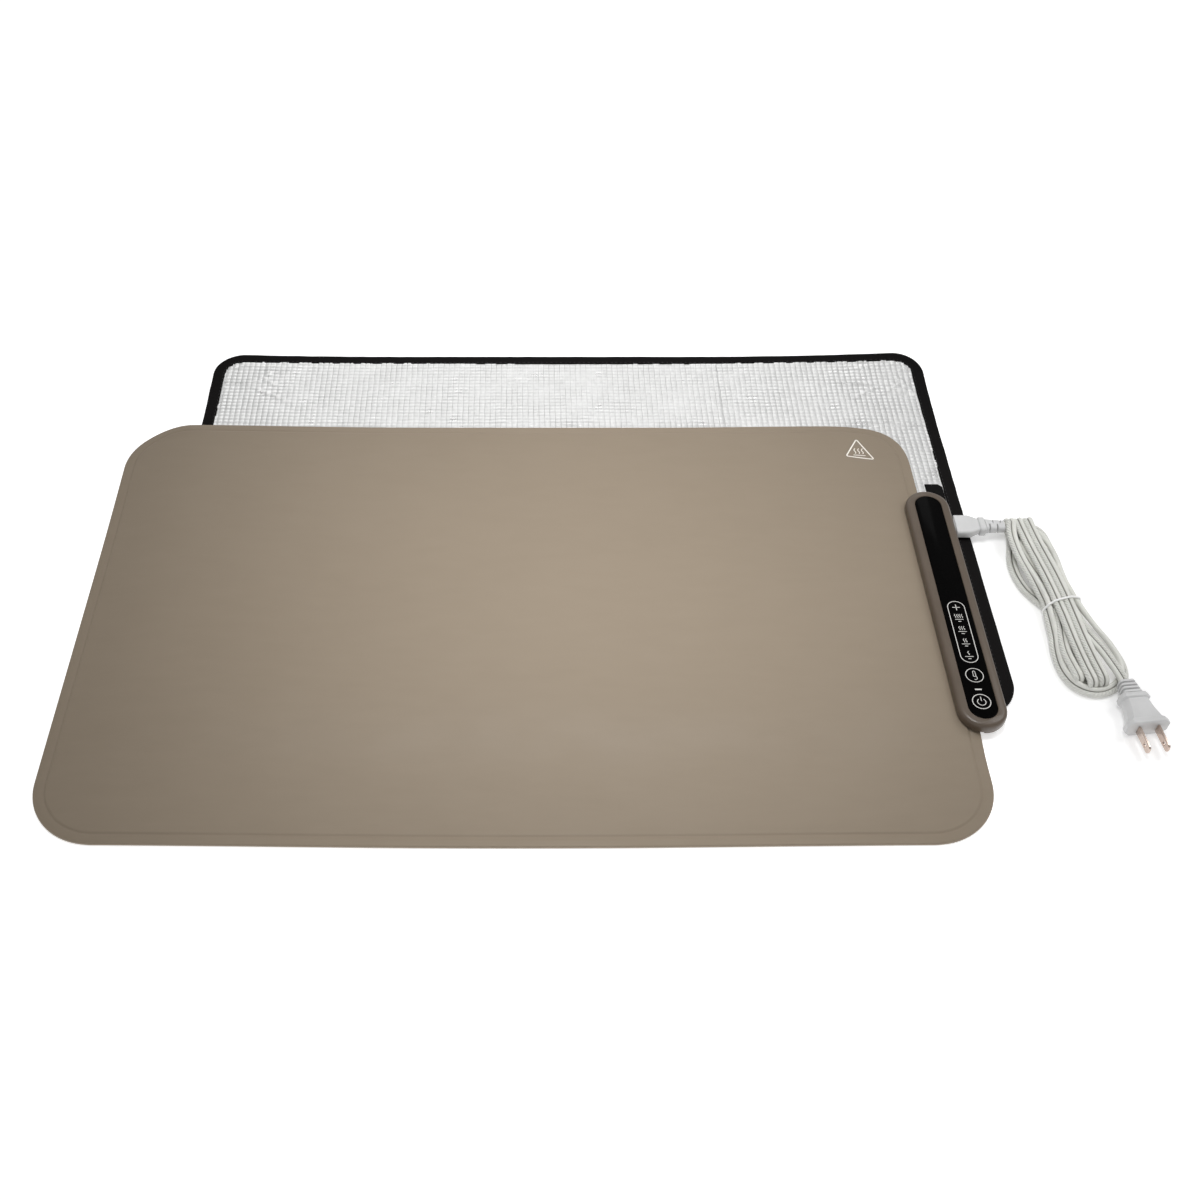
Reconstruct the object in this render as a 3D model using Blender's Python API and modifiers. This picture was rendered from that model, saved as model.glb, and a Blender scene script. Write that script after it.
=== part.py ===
"""Roll-up electric warming mat with its foil-faced pad, touch controller and mains cord set.

Metres, +Z up, +X to the right, +Y away from the front edge. The pad lies on the ground plane.
The silicone mat lies over the pad and drapes to the ground past the pad's front and left edges.
"""

import math

import bmesh
import bpy
from mathutils import Vector

MM = 0.001
GAP = 0.3  # clearance between separate pieces, in mm

# ---- driving dimensions, in millimetres ----
MAT_W, MAT_D, MAT_R = 598.0, 374.5, 44.0
MAT_X, MAT_Y = -15.5, -46.0
SHEET_LOW, SHEET_TOP, FILM_T = 0.9, 0.8, 0.2
MAT_T = 2.4
PLATEAU_INSET, PLATEAU_RISE = 7.0, 0.4

PAD_W, PAD_D, PAD_R, PAD_T = 578.5, 368.0, 24.0, 4.0
PAD_X, PAD_Y = 25.25, 49.25
BINDING_W, BINDING_T = 10.0, 0.5

HOUSING_W, HOUSING_L = 32.0, 217.0
HOUSING_X, HOUSING_Y = 286.0, -45.6
HOUSING_BASE_Z, HOUSING_SPLIT_Z, HOUSING_TOP_Z = 4.9, 7.3, 13.8
HOUSING_WALL = 1.8
PANEL_W, PANEL_L, PANEL_T, PANEL_TOP_Z = 18.8, 204.0, 1.2, 13.6
BOARD_Z, BOARD_T = 9.4, 1.0

INLET_Y, INLET_Z = 29.6, 9.1
CORD_D = 5.2  # round tube of the same section as the flat two-core cord, 7.4 by 3.7
PLUG_START = (386.3, -113.5, 7.2)
PLUG_YAW = -84.0
BLADE_SPACING, BLADE_T, BLADE_H, BLADE_L = 12.7, 1.5, 6.35, 17.5

HANK_WAIST = (362.5, -42.0)
HANK_TURN = 10.0
HANK_LOW, HANK_HIGH = 1.7, 12.3
# half of the hank's outline each side: (across, along) from the waist, far end first
HANK_RIGHT = [(7, -78), (13, -73), (17, -58), (18.5, -38), (15, -14), (12.6, 0),
              (14.5, 16), (17, 36), (16.5, 52), (6, 65)]
HANK_LEFT = [(-3, 76), (-12, 76), (-20, 66), (-25, 48), (-24.5, 36), (-17, 14), (-12.6, 0),
             (-16, -14), (-20.5, -36), (-15, -56), (-5.5, -70), (0, -77)]

# ---- sizes that follow ----
MAT_FLAT_Z = PAD_T + GAP
MAT_RIGHT = MAT_X + MAT_W / 2
PAD_FRONT = PAD_Y - PAD_D / 2
PAD_LEFT = PAD_X - PAD_W / 2
DRAPE_RUN = 40.0
HOUSING_RIGHT = HOUSING_X + HOUSING_W / 2


# ---------------------------------------------------------------- scene and materials

def clear_scene():
    for obj in list(bpy.data.objects):
        bpy.data.objects.remove(obj, do_unlink=True)


def collection(name):
    coll = bpy.data.collections.new(name)
    bpy.context.scene.collection.children.link(coll)
    return coll


def material(name, colour, roughness, metallic=0.0):
    mat = bpy.data.materials.new(name)
    mat.use_nodes = True
    shader = mat.node_tree.nodes["Principled BSDF"]
    shader.inputs["Base Color"].default_value = (*colour, 1.0)
    shader.inputs["Roughness"].default_value = roughness
    shader.inputs["Metallic"].default_value = metallic
    mat.diffuse_color = (*colour, 1.0)
    return mat


clear_scene()
PARTS = collection("warming_mat")
CUTTERS = collection("cutters")

SILICONE = material("taupe_silicone", (0.27, 0.235, 0.19), 0.55)
HOUSING = material("taupe_plastic", (0.24, 0.20, 0.17), 0.32)
GLASS_BLACK = material("black_panel", (0.01, 0.01, 0.012), 0.08)
FOIL = material("aluminium_foil", (0.80, 0.81, 0.82), 0.22, 1.0)
FOAM = material("white_foam", (0.75, 0.75, 0.73), 0.9)
FABRIC = material("black_fabric", (0.015, 0.015, 0.016), 0.85)
CARBON = material("carbon_film", (0.03, 0.03, 0.035), 0.5)
CORD = material("grey_white_pvc", (0.73, 0.74, 0.71), 0.45)
TIE = material("white_tie", (0.9, 0.9, 0.9), 0.5)
PLATED = material("nickel_plated_brass", (0.72, 0.63, 0.57), 0.25, 1.0)
BRASS = material("brass", (0.78, 0.62, 0.33), 0.3, 1.0)
STEEL = material("zinc_steel", (0.62, 0.62, 0.63), 0.35, 1.0)
BOARD = material("green_board", (0.03, 0.16, 0.07), 0.5)
CHIP = material("black_epoxy", (0.02, 0.02, 0.02), 0.5)
NYLON = material("white_nylon", (0.8, 0.8, 0.77), 0.5)
LED = material("diffuser", (0.85, 0.88, 0.9), 0.3)
WIRE = material("red_silicone_wire", (0.45, 0.03, 0.02), 0.45)


# ---------------------------------------------------------------- mesh helpers

def finish_object(name, bm, mat, coll=PARTS, smooth=True):
    """Write the bmesh, whose coordinates are in millimetres, to a new object in metres."""
    bmesh.ops.recalc_face_normals(bm, faces=bm.faces)
    bmesh.ops.scale(bm, vec=(MM, MM, MM), verts=bm.verts)
    mesh = bpy.data.meshes.new(name)
    bm.to_mesh(mesh)
    bm.free()
    if mat:
        mesh.materials.append(mat)
    if smooth:
        mesh.polygons.foreach_set("use_smooth", [True] * len(mesh.polygons))
        mesh.set_sharp_from_angle(angle=math.radians(35))
    obj = bpy.data.objects.new(name, mesh)
    coll.objects.link(obj)
    if coll is CUTTERS:
        obj.hide_render = True
        obj.display_type = 'WIRE'
    return obj


def loft(rings, closed=False):
    """Skin equal-length rings of 3-D points. closed joins the last ring to the first."""
    bm = bmesh.new()
    loops = [[bm.verts.new(point) for point in ring] for ring in rings]
    count = len(loops[0])
    pairs = list(zip(loops, loops[1:]))
    if closed:
        pairs.append((loops[-1], loops[0]))
    for low, high in pairs:
        for i in range(count):
            j = (i + 1) % count
            bm.faces.new((low[i], low[j], high[j], high[i]))
    if not closed:
        bm.faces.new(loops[0][::-1])
        bm.faces.new(loops[-1])
    return bm


def at_height(outline, z):
    return [(x, y, z) for x, y in outline]


def box(low, high):
    outline = [(low[0], low[1]), (high[0], low[1]), (high[0], high[1]), (low[0], high[1])]
    return loft([at_height(outline, low[2]), at_height(outline, high[2])])


def circle(x, y, radius, count=20):
    return [(x + radius * math.cos(math.tau * i / count), y + radius * math.sin(math.tau * i / count))
            for i in range(count)]


def disc(x, y, radius, z_low, z_high, count=20):
    outline = circle(x, y, radius, count)
    return loft([at_height(outline, z_low), at_height(outline, z_high)])


def corner(cx, cy, radius, start, steps):
    return [(cx + radius * math.cos(math.radians(start + 90 * i / steps)),
             cy + radius * math.sin(math.radians(start + 90 * i / steps))) for i in range(steps + 1)]


def round_rect(cx, cy, width, depth, radius, inset=0.0, steps=8):
    """Rounded rectangle, anticlockwise from the right side's rear end."""
    r = radius - inset
    dx, dy = width / 2 - radius, depth / 2 - radius
    return (corner(cx + dx, cy + dy, r, 0, steps) + corner(cx - dx, cy + dy, r, 90, steps)
            + corner(cx - dx, cy - dy, r, 180, steps) + corner(cx + dx, cy - dy, r, 270, steps))


def pill(inset=0.0, width=HOUSING_W, length=HOUSING_L, steps=10):
    """The controller's outline: straight sides with half-round ends."""
    return round_rect(HOUSING_X, HOUSING_Y, width, length, width / 2 - 0.01, inset, steps)


def section_x(x, cy, cz, width, height, radius, steps=4):
    """Rounded rectangle across the X axis."""
    return [(x, y, z) for y, z in round_rect(cy, cz, width, height, radius, 0.0, steps)]


def octagon_x(x, width, height, cut):
    """Rectangle with cut corners across the X axis, centred on it."""
    w, h = width / 2, height / 2
    outline = [(w, -h + cut), (w, h - cut), (w - cut, h), (-w + cut, h),
               (-w, h - cut), (-w, -h + cut), (-w + cut, -h), (w - cut, -h)]
    return [(x, y, z) for y, z in outline]


def cut(obj, cutter, operation='DIFFERENCE'):
    mod = obj.modifiers.new(cutter.name, 'BOOLEAN')
    mod.operation = operation
    mod.solver = 'EXACT'
    mod.object = cutter


def tube(name, route, diameter, mat, resolution=3):
    """Round tube with flat ends along a list of points in millimetres."""
    curve = bpy.data.curves.new(name, 'CURVE')
    curve.dimensions = '3D'
    curve.bevel_depth = diameter / 2 * MM
    curve.bevel_resolution = resolution
    curve.use_fill_caps = True
    spline = curve.splines.new('POLY')
    spline.points.add(len(route) - 1)
    for point, (x, y, z) in zip(spline.points, route):
        point.co = (x * MM, y * MM, z * MM, 1.0)
    curve.materials.append(mat)
    obj = bpy.data.objects.new(name, curve)
    PARTS.objects.link(obj)
    return obj


# ---------------------------------------------------------------- drape of the mat

def smooth_rise(distance, run):
    t = min(max(distance / run, 0.0), 1.0)
    return t * t * (3 - 2 * t)


def rest_height(x, y):
    """Height of the mat's underside: on the pad, or eased down to the ground beyond it."""
    front = smooth_rise(y - (PAD_FRONT - 1 - DRAPE_RUN), DRAPE_RUN)
    left = smooth_rise(x - (PAD_LEFT - 1 - DRAPE_RUN), DRAPE_RUN)
    return GAP + PAD_T * front * left


def drape(bm):
    """Cut the flat sheet across its two bends, then lay each point at its rest height."""
    for step in range(7):
        offset = DRAPE_RUN * step / 6 + 1
        for place, normal in (((0, PAD_FRONT - offset, 0), (0, 1, 0)), ((PAD_LEFT - offset, 0, 0), (1, 0, 0))):
            geometry = bm.verts[:] + bm.edges[:] + bm.faces[:]
            bmesh.ops.bisect_plane(bm, geom=geometry, dist=0.001, plane_co=place, plane_no=normal)
    bmesh.ops.triangulate(bm, faces=bm.faces)
    for vert in bm.verts:
        vert.co.z += rest_height(vert.co.x, vert.co.y)
    return bm


def mat_outline(inset=0.0, notch=0.0):
    """Mat outline with four extra points on the right side, where the raised field is notched."""
    points = round_rect(MAT_X, MAT_Y, MAT_W, MAT_D, MAT_R, inset)
    right = MAT_RIGHT - inset
    low = HOUSING_Y - HOUSING_L / 2 - 3
    high = HOUSING_Y + HOUSING_L / 2 + 3
    return points + [(right, low), (right - notch, low + 2), (right - notch, high - 2), (right, high)]


def ring_stack(profile, outline):
    return [at_height(outline(inset), z) for inset, z in profile]


# ---------------------------------------------------------------- insulating pad

def pad_outline(inset=0.0):
    return round_rect(PAD_X, PAD_Y, PAD_W, PAD_D, PAD_R, inset)


def build_pad():
    inner = BINDING_W + GAP
    top = PAD_T - BINDING_T
    wall = 0.7
    finish_object("pad_fabric_back", loft(ring_stack([(inner, 0), (inner, BINDING_T)], pad_outline)), FABRIC)
    core = [(wall + GAP, BINDING_T + GAP), (wall + GAP, top - GAP)]
    finish_object("pad_foam_core", loft(ring_stack(core, pad_outline)), FOAM)
    finish_object("pad_foil_face", loft(ring_stack([(inner, top), (inner, PAD_T)], pad_outline)), FOIL)
    fold = [(BINDING_W, 0), (0.7, 0), (0, 0.8), (0, PAD_T - 0.8), (0.7, PAD_T), (BINDING_W, PAD_T),
            (BINDING_W, top), (wall, top), (wall, BINDING_T), (BINDING_W, BINDING_T)]
    finish_object("pad_edge_binding", loft(ring_stack(fold, pad_outline), closed=True), FABRIC)
    label_right = PAD_X + PAD_W / 2 - BINDING_W - 0.5
    label = [(label_right - 13, 34), (label_right, 34), (label_right, 76), (label_right - 3, 79),
             (label_right - 13, 79)]
    finish_object("pad_label_patch", loft([at_height(label, PAD_T + 0.2), at_height(label, PAD_T + 0.5)]),
                  FABRIC, smooth=False)


# ---------------------------------------------------------------- silicone mat

def build_mat():
    rim = MAT_T - SHEET_TOP - 0.15
    tray = [(0.3, 0), (0, 0.3), (0, rim), (6, rim), (6, SHEET_LOW)]
    finish_object("mat_bottom_sheet", drape(loft(ring_stack(tray, mat_outline))), SILICONE)

    film_low = SHEET_LOW + 0.15
    film = ring_stack([(9, film_low), (9, film_low + FILM_T)], mat_outline)
    finish_object("heating_film", drape(loft(film)), CARBON)

    notch = MAT_RIGHT - (HOUSING_X - HOUSING_W / 2) + 1 - PLATEAU_INSET
    low = MAT_T - SHEET_TOP
    rings = ring_stack([(0, low), (0, MAT_T - 0.3), (0.3, MAT_T)], mat_outline)
    rings.append(at_height(mat_outline(PLATEAU_INSET, notch), MAT_T))
    rings.append(at_height(mat_outline(PLATEAU_INSET + 0.8, notch), MAT_T + PLATEAU_RISE))
    finish_object("mat_top_sheet", drape(loft(rings)), SILICONE)


# ---------------------------------------------------------------- touch controller

SCREWS = [(291.0, -144.0), (297.5, -92.0), (297.5, -6.0), (291.0, 52.0)]


def build_top_cover():
    rebate = (HOUSING_W - PANEL_W) / 2 - 0.25
    ledge_z = PANEL_TOP_Z - PANEL_T - GAP
    profile = [(0, HOUSING_SPLIT_Z), (0, 10.6), (0.3, 12.0), (0.9, 12.9), (1.8, 13.5), (3.0, HOUSING_TOP_Z),
               (rebate - 0.3, HOUSING_TOP_Z), (rebate, HOUSING_TOP_Z - 0.3), (rebate, ledge_z),
               (rebate + 2, ledge_z), (rebate + 2, ledge_z - 0.7),
               (HOUSING_WALL, ledge_z - 0.7), (HOUSING_WALL, HOUSING_SPLIT_Z)]
    cover = finish_object("housing_top_cover", loft(ring_stack(profile, pill), closed=True), HOUSING)

    floor_right = MAT_RIGHT + 0.1
    lap = [(x, y) for x, y in pill(0.6) if x < floor_right]
    edge_y = HOUSING_L / 2 - 0.7
    lap = [(floor_right, HOUSING_Y + edge_y)] + lap + [(floor_right, HOUSING_Y - edge_y)]
    rings = [at_height(lap, HOUSING_SPLIT_Z), at_height(lap, HOUSING_SPLIT_Z + 1)]
    cut(cover, finish_object("lap_floor", loft(rings), None, CUTTERS, False), 'UNION')
    for i, (x, y) in enumerate(SCREWS, 1):
        boss = disc(x, y, 2.65, HOUSING_SPLIT_Z, ledge_z - 0.5)
        cut(cover, finish_object(f"boss_{i}", boss, None, CUTTERS, False), 'UNION')
    for i, (x, y) in enumerate(SCREWS, 1):
        bore = disc(x, y, 1.25, HOUSING_SPLIT_Z - 1, 10.6, 16)
        cut(cover, finish_object(f"boss_bore_{i}", bore, None, CUTTERS, False))
    slot = box((HOUSING_RIGHT - 3, INLET_Y - 7.2, 7.0), (HOUSING_RIGHT + 1, INLET_Y + 7.2, 11.3))
    cut(cover, finish_object("inlet_slot", slot, None, CUTTERS, False))


def build_bottom_cover():
    rim_z = HOUSING_SPLIT_Z - 0.2
    floor_z = HOUSING_BASE_Z + 1.2
    profile = [(1.3, HOUSING_BASE_Z), (0.5, HOUSING_BASE_Z + 0.8), (0.5, rim_z), (2.1, rim_z), (2.1, floor_z)]
    cover = finish_object("housing_bottom_cover", loft(ring_stack(profile, pill)), HOUSING)
    left = MAT_RIGHT + 2.1
    side = box((HOUSING_X - 30, HOUSING_Y - 120, 0), (left, HOUSING_Y + 120, 20))
    cut(cover, finish_object("mat_side", side, None, CUTTERS, False))
    for i, (x, y) in enumerate(SCREWS, 1):
        pillar = disc(x, y, 3.2, floor_z - 0.6, rim_z)
        cut(cover, finish_object(f"pillar_{i}", pillar, None, CUTTERS, False), 'UNION')
    for i, (x, y) in enumerate(SCREWS, 1):
        cut(cover, finish_object(f"screw_seat_{i}", disc(x, y, 2.6, 4, 6.3), None, CUTTERS, False))
        cut(cover, finish_object(f"screw_hole_{i}", disc(x, y, 1.25, 4, 9, 16), None, CUTTERS, False))


def build_screws():
    for i, (x, y) in enumerate(SCREWS, 1):
        rings = [at_height(circle(x, y, r, 16), z)
                 for r, z in ((1.9, 5.2), (2.3, 5.5), (2.3, 6.1), (0.95, 6.1), (0.95, 9.9), (0.4, 10.3))]
        finish_object(f"housing_screw_{i}", loft(rings), STEEL)


def panel_pill(inset=0.0):
    return pill(inset, PANEL_W, PANEL_L)


def build_electronics():
    low = PANEL_TOP_Z - PANEL_T
    panel = [(0, low), (0, PANEL_TOP_Z - 0.25), (0.25, PANEL_TOP_Z)]
    finish_object("touch_panel", loft(ring_stack(panel, panel_pill)), GLASS_BLACK)

    tape = [(x, y) for x, y in pill(2.2) if x < MAT_RIGHT - 0.3]
    tape = [(MAT_RIGHT - 0.3, tape[0][1])] + tape + [(MAT_RIGHT - 0.3, tape[-1][1])]
    tape_z = MAT_FLAT_Z + MAT_T + 0.15
    finish_object("mat_bond_tape", loft([at_height(tape, tape_z), at_height(tape, tape_z + 0.3)]), CHIP)

    finish_object("control_board", box((273.5, -134, BOARD_Z), (294.4, 18, BOARD_Z + BOARD_T)), BOARD, smooth=False)
    above = BOARD_Z + BOARD_T + 0.2
    finish_object("touch_pad_level", box((280, -98, above), (292, -50, above + 1.4)), NYLON, smooth=False)
    finish_object("touch_pad_set", disc(HOUSING_X, -112.2, 5.4, above, above + 1.4), NYLON)
    finish_object("touch_pad_power", disc(HOUSING_X, -134 + 1.6, 5.4, above, above + 1.4), NYLON)
    finish_object("indicator_led", box((284.5, -124, above), (287.5, -121.5, above + 1.4)), LED, smooth=False)
    finish_object("microcontroller", box((281, -38, above), (291, -28, above + 1.1)), CHIP, smooth=False)

    under = BOARD_Z - 0.2
    finish_object("power_triac", box((287.5, -30, 6.5), (294, -20, under)), CHIP, smooth=False)
    finish_object("power_module", box((287.5, -72, 6.5), (294, -42, under)), CHIP, smooth=False)
    finish_object("buzzer", disc(291.5, -110, 4.0, 6.5, under), CHIP)
    finish_object("board_fuse", box((287.5, -8, 6.5), (292.5, 4, under)), NYLON, smooth=False)
    finish_object("thermal_cutout", box((276, 24, 8.6), (282, 36, 11.0)), NYLON, smooth=False)
    finish_object("thermal_sensor", disc(280, 46, 1.5, 8.6, 10.0), CHIP)
    for i, y in enumerate((-64.0, -58.0), 1):
        tube(f"element_lead_{i}", [(MAT_RIGHT + 1.05, y, 6.0), (MAT_RIGHT + 1.05, y, under)], 1.0, WIRE, 2)

    finish_object("inlet_block", box((286, INLET_Y - 9, 7.5), (291.5, INLET_Y + 9, 11.1)), NYLON, smooth=False)
    for i, side in enumerate((-1, 1), 1):
        y = INLET_Y + 3.6 * side
        rings = [section_x(x, y, INLET_Z, 2 * r, 2 * r, r - 0.01, 4) for x, r in ((291.8, 0.95), (298.8, 0.95), (299.5, 0.6))]
        finish_object(f"inlet_pin_{i}", loft(rings), PLATED)


# ---------------------------------------------------------------- cord set

def build_connector():
    y, z = INLET_Y, INLET_Z
    rings = [section_x(292.0, y, z, 13.0, 3.2, 1.4), section_x(292.4, y, z, 13.6, 3.7, 1.6),
             section_x(302.5, y, z, 13.6, 3.7, 1.6), section_x(302.5, y, z, 17.6, 6.2, 1.8),
             section_x(303.0, y, z, 18.4, 7.0, 2.1), section_x(313.0, y, z, 18.4, 7.0, 2.1),
             section_x(316.0, y, z, 15.4, 6.6, 2.0), section_x(319.4, y, z, 12.0, 6.0, 1.9),
             section_x(319.8, y, z, 13.4, 7.4, 2.2), section_x(320.3, y, z, 14.0, 8.0, 2.4),
             section_x(323.6, y, z, 14.0, 8.0, 2.4), section_x(324.2, y, z, 13.2, 7.2, 2.2)]
    body = finish_object("connector_body", loft(rings), CORD)
    for i, side in enumerate((-1, 1), 1):
        pin_y = y + 3.6 * side
        bore = [section_x(x, pin_y, z, 3.2, 3.2, 1.59, 4) for x in (291, 301)]
        cut(body, finish_object(f"contact_bore_{i}", loft(bore), None, CUTTERS, False))
        rings = [section_x(x, pin_y, z, 2 * r, 2 * r, r - 0.01, 4)
                 for x, r in ((292.4, 1.4), (300.5, 1.4), (300.5, 1.15), (292.4, 1.15))]
        finish_object(f"connector_contact_{i}", loft(rings, closed=True), BRASS)

    relief = [section_x(324.5, y, z, 10.8, 7.2, 2.6), section_x(338.2, y, z, 9.2, 6.0, 2.3),
              section_x(338.6, y, z, 8.4, 5.2, 2.0)]
    sleeve = finish_object("connector_strain_relief", loft(relief), CORD)
    for i, x in enumerate((326.6, 329.4, 332.2, 335.0), 1):
        side = -1 if i % 2 else 1
        low, high = sorted((y + side * 0.6, y + side * 9))
        cut(sleeve, finish_object(f"relief_slot_{i}", box((x, low, 0), (x + 1.1, high, 20)), None, CUTTERS, False))


def hank_point(across, along):
    turn = math.radians(HANK_TURN)
    return (HANK_WAIST[0] + across * math.cos(turn) + along * math.sin(turn),
            HANK_WAIST[1] + across * math.sin(turn) - along * math.cos(turn))


def smooth_loop(points, steps):
    """Closed Catmull-Rom curve through the points."""
    count = len(points)
    result = []
    for i in range(count):
        p0, p1, p2, p3 = (Vector(points[(i + k) % count]) for k in (-1, 0, 1, 2))
        for step in range(steps):
            t = step / steps
            result.append(0.5 * (2 * p1 + (p2 - p0) * t + (2 * p0 - 5 * p1 + 4 * p2 - p3) * t ** 2
                                 + (3 * p1 - p0 - 3 * p2 + p3) * t ** 3))
    return result


def build_cord():
    loop = smooth_loop(HANK_RIGHT + HANK_LEFT, 2)
    outline = [hank_point(p.x, p.y) for p in loop]
    centre = hank_point(0, 0)
    levels = ((0.86, HANK_LOW), (1.0, HANK_LOW + 3), (1.0, HANK_HIGH - 3), (0.86, HANK_HIGH))
    rings = []
    for scale, z in levels:
        shrink = (1 - scale) * 14
        ring = []
        for x, y in outline:
            away = Vector((x - centre[0], y - centre[1]))
            away -= away.normalized() * min(shrink, away.length * 0.2)
            ring.append((centre[0] + away.x, centre[1] + away.y, z))
        rings.append(ring)
    finish_object("cord_hank", loft(rings), CORD)

    half_w, half_h, middle_z = 14.2, 6.2, (HANK_LOW + HANK_HIGH) / 2
    ring = []
    for across, up in round_rect(0, 0, 2 * half_w, 2 * half_h, 5.0, 0, 5):
        x, y = hank_point(across, 0)
        ring.append((Vector((x, y, middle_z + up)), Vector((across, up)).normalized()))
    across_dir = Vector((*hank_point(1, 0), 0)) - Vector((*hank_point(0, 0), 0))
    along_dir = Vector((*hank_point(0, 1), 0)) - Vector((*hank_point(0, 0), 0))
    rings = []
    for point, out in ring:
        outward = across_dir * out.x + Vector((0, 0, out.y))
        rings.append([tuple(point + 0.55 * (outward * math.cos(a) + along_dir * math.sin(a)))
                      for a in (math.tau * k / 8 for k in range(8))])
    finish_object("cord_tie", loft(rings, closed=True), TIE)

    tube("cord_lead", [(339.0, INLET_Y, INLET_Z), (340.6, INLET_Y, INLET_Z), (342.2, INLET_Y - 0.2, INLET_Z - 0.5),
                       (343.4, INLET_Y - 0.4, INLET_Z - 1.2)], CORD_D, CORD)
    tube("cord_tail", [(386.8, -103.0, 7.0), (386.6, -106.5, 7.1), (386.3, -110, 7.2), (386.25, -113.1, 7.2)],
         CORD_D, CORD)


def place_on_plug(obj):
    obj.location = Vector(PLUG_START) * MM
    obj.rotation_euler = (0, 0, math.radians(PLUG_YAW))


def build_plug():
    relief = []
    for i in range(3):
        x = 3.2 + 2.9 * i
        width = 10.5 + 1.0 * i
        relief += [(x - 2.7 if i else 0.0, width), (x - 0.4, width + 0.3), (x - 0.4, width - 2.4), (x + 0.2, width - 2.4)]
    relief += [(9.2, 13.2), (11.3, 13.6)]
    rings = [section_x(x, 0, 0, w, w * 0.8, w * 0.3, 4) for x, w in relief]
    place_on_plug(finish_object("plug_strain_relief", loft(rings), CORD))

    sections = [(11.6, 16.0, 10.0, 2.4), (12.0, 19.6, 12.0, 3.0), (15.2, 20.4, 12.6, 3.0), (15.9, 18.6, 11.6, 2.8),
                (16.2, 17.2, 10.8, 2.8), (24, 19.6, 11.4, 2.8), (32.6, 24.4, 12.4, 3.0), (33.2, 27.0, 13.4, 3.4),
                (33.8, 28.4, 14.2, 3.6), (36.8, 28.4, 14.2, 3.6), (37.4, 27.6, 13.4, 3.4)]
    body = finish_object("plug_body", loft([octagon_x(*s) for s in sections]), CORD)
    place_on_plug(body)
    bevel = body.modifiers.new("soft_edges", 'BEVEL')
    bevel.width = 0.35 * MM
    bevel.segments = 2
    bevel.limit_method = 'ANGLE'
    bevel.angle_limit = math.radians(40)

    for i, side in enumerate((-1, 1), 1):
        y = side * BLADE_SPACING / 2
        x0 = 37.7
        x1 = x0 + BLADE_L
        half_t, half_h = BLADE_T / 2, BLADE_H / 2
        side_view = [(x0, -half_h), (x1 - 1.6, -half_h), (x1 - 0.4, -half_h + 0.8), (x1, -half_h + 2.2),
                     (x1, half_h - 2.2), (x1 - 0.4, half_h - 0.8), (x1 - 1.6, half_h), (x0, half_h)]
        rings = [[(x, y - half_t, z) for x, z in side_view], [(x, y + half_t, z) for x, z in side_view]]
        blade = finish_object(f"plug_blade_{i}", loft(rings), PLATED, smooth=False)
        hole = [[(x, y + s, z) for x, z in circle(x0 + 12, 0, 1.6, 16)] for s in (-2, 2)]
        cutter = finish_object(f"blade_hole_{i}", loft(hole), None, CUTTERS, False)
        place_on_plug(cutter)
        cut(blade, cutter)
        place_on_plug(blade)


build_pad()
build_mat()
build_top_cover()
build_bottom_cover()
build_screws()
build_electronics()
build_connector()
build_cord()
build_plug()
bpy.context.view_layer.update()
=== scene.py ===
"""Looks of the roll-up warming mat, its foil-faced pad, touch controller and cord set.

Builder functions work in millimetres in the row frame. Meshes are written in metres.
"""

import math

import bmesh
import bpy
import numpy as np
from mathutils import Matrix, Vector, noise


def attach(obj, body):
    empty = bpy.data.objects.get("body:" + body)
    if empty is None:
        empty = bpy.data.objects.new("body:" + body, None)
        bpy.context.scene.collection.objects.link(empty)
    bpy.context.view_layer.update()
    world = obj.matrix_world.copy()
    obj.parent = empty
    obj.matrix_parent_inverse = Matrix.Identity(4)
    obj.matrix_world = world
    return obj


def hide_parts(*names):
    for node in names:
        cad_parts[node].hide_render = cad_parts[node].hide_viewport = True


MM = 0.001
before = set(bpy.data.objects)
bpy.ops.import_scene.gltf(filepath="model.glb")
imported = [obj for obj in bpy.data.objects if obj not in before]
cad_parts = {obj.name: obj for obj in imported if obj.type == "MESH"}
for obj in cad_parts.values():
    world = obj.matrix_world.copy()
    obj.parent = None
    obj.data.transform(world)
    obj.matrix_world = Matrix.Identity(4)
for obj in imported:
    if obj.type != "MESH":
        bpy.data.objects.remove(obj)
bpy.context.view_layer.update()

# ---- sizes repeated from the part, in millimetres ----
MAT_X, MAT_Y, MAT_W, MAT_D, MAT_R = -15.5, -46.0, 598.0, 374.5, 44.0
MAT_RIGHT = MAT_X + MAT_W / 2
PAD_X, PAD_Y, PAD_W, PAD_D, PAD_R, PAD_T = 25.25, 49.25, 578.5, 368.0, 24.0, 4.0
PAD_FRONT, PAD_LEFT = PAD_Y - PAD_D / 2, PAD_X - PAD_W / 2
GAP = 0.3  # left between meshes that touch
BINDING_W = 10.0
DRAPE_RUN = 40.0  # how far the mat takes to come down past the pad's edge
HOUSING_X, HOUSING_Y, HOUSING_L = 286.0, -45.6, 217.0
PANEL_TOP_Z = 13.6
PLUG_START, PLUG_YAW = (386.3, -113.5, 7.2), -84.0
HANK_WAIST = (362.5, -42.0)
HANK_TURN = math.radians(10.0)

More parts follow.
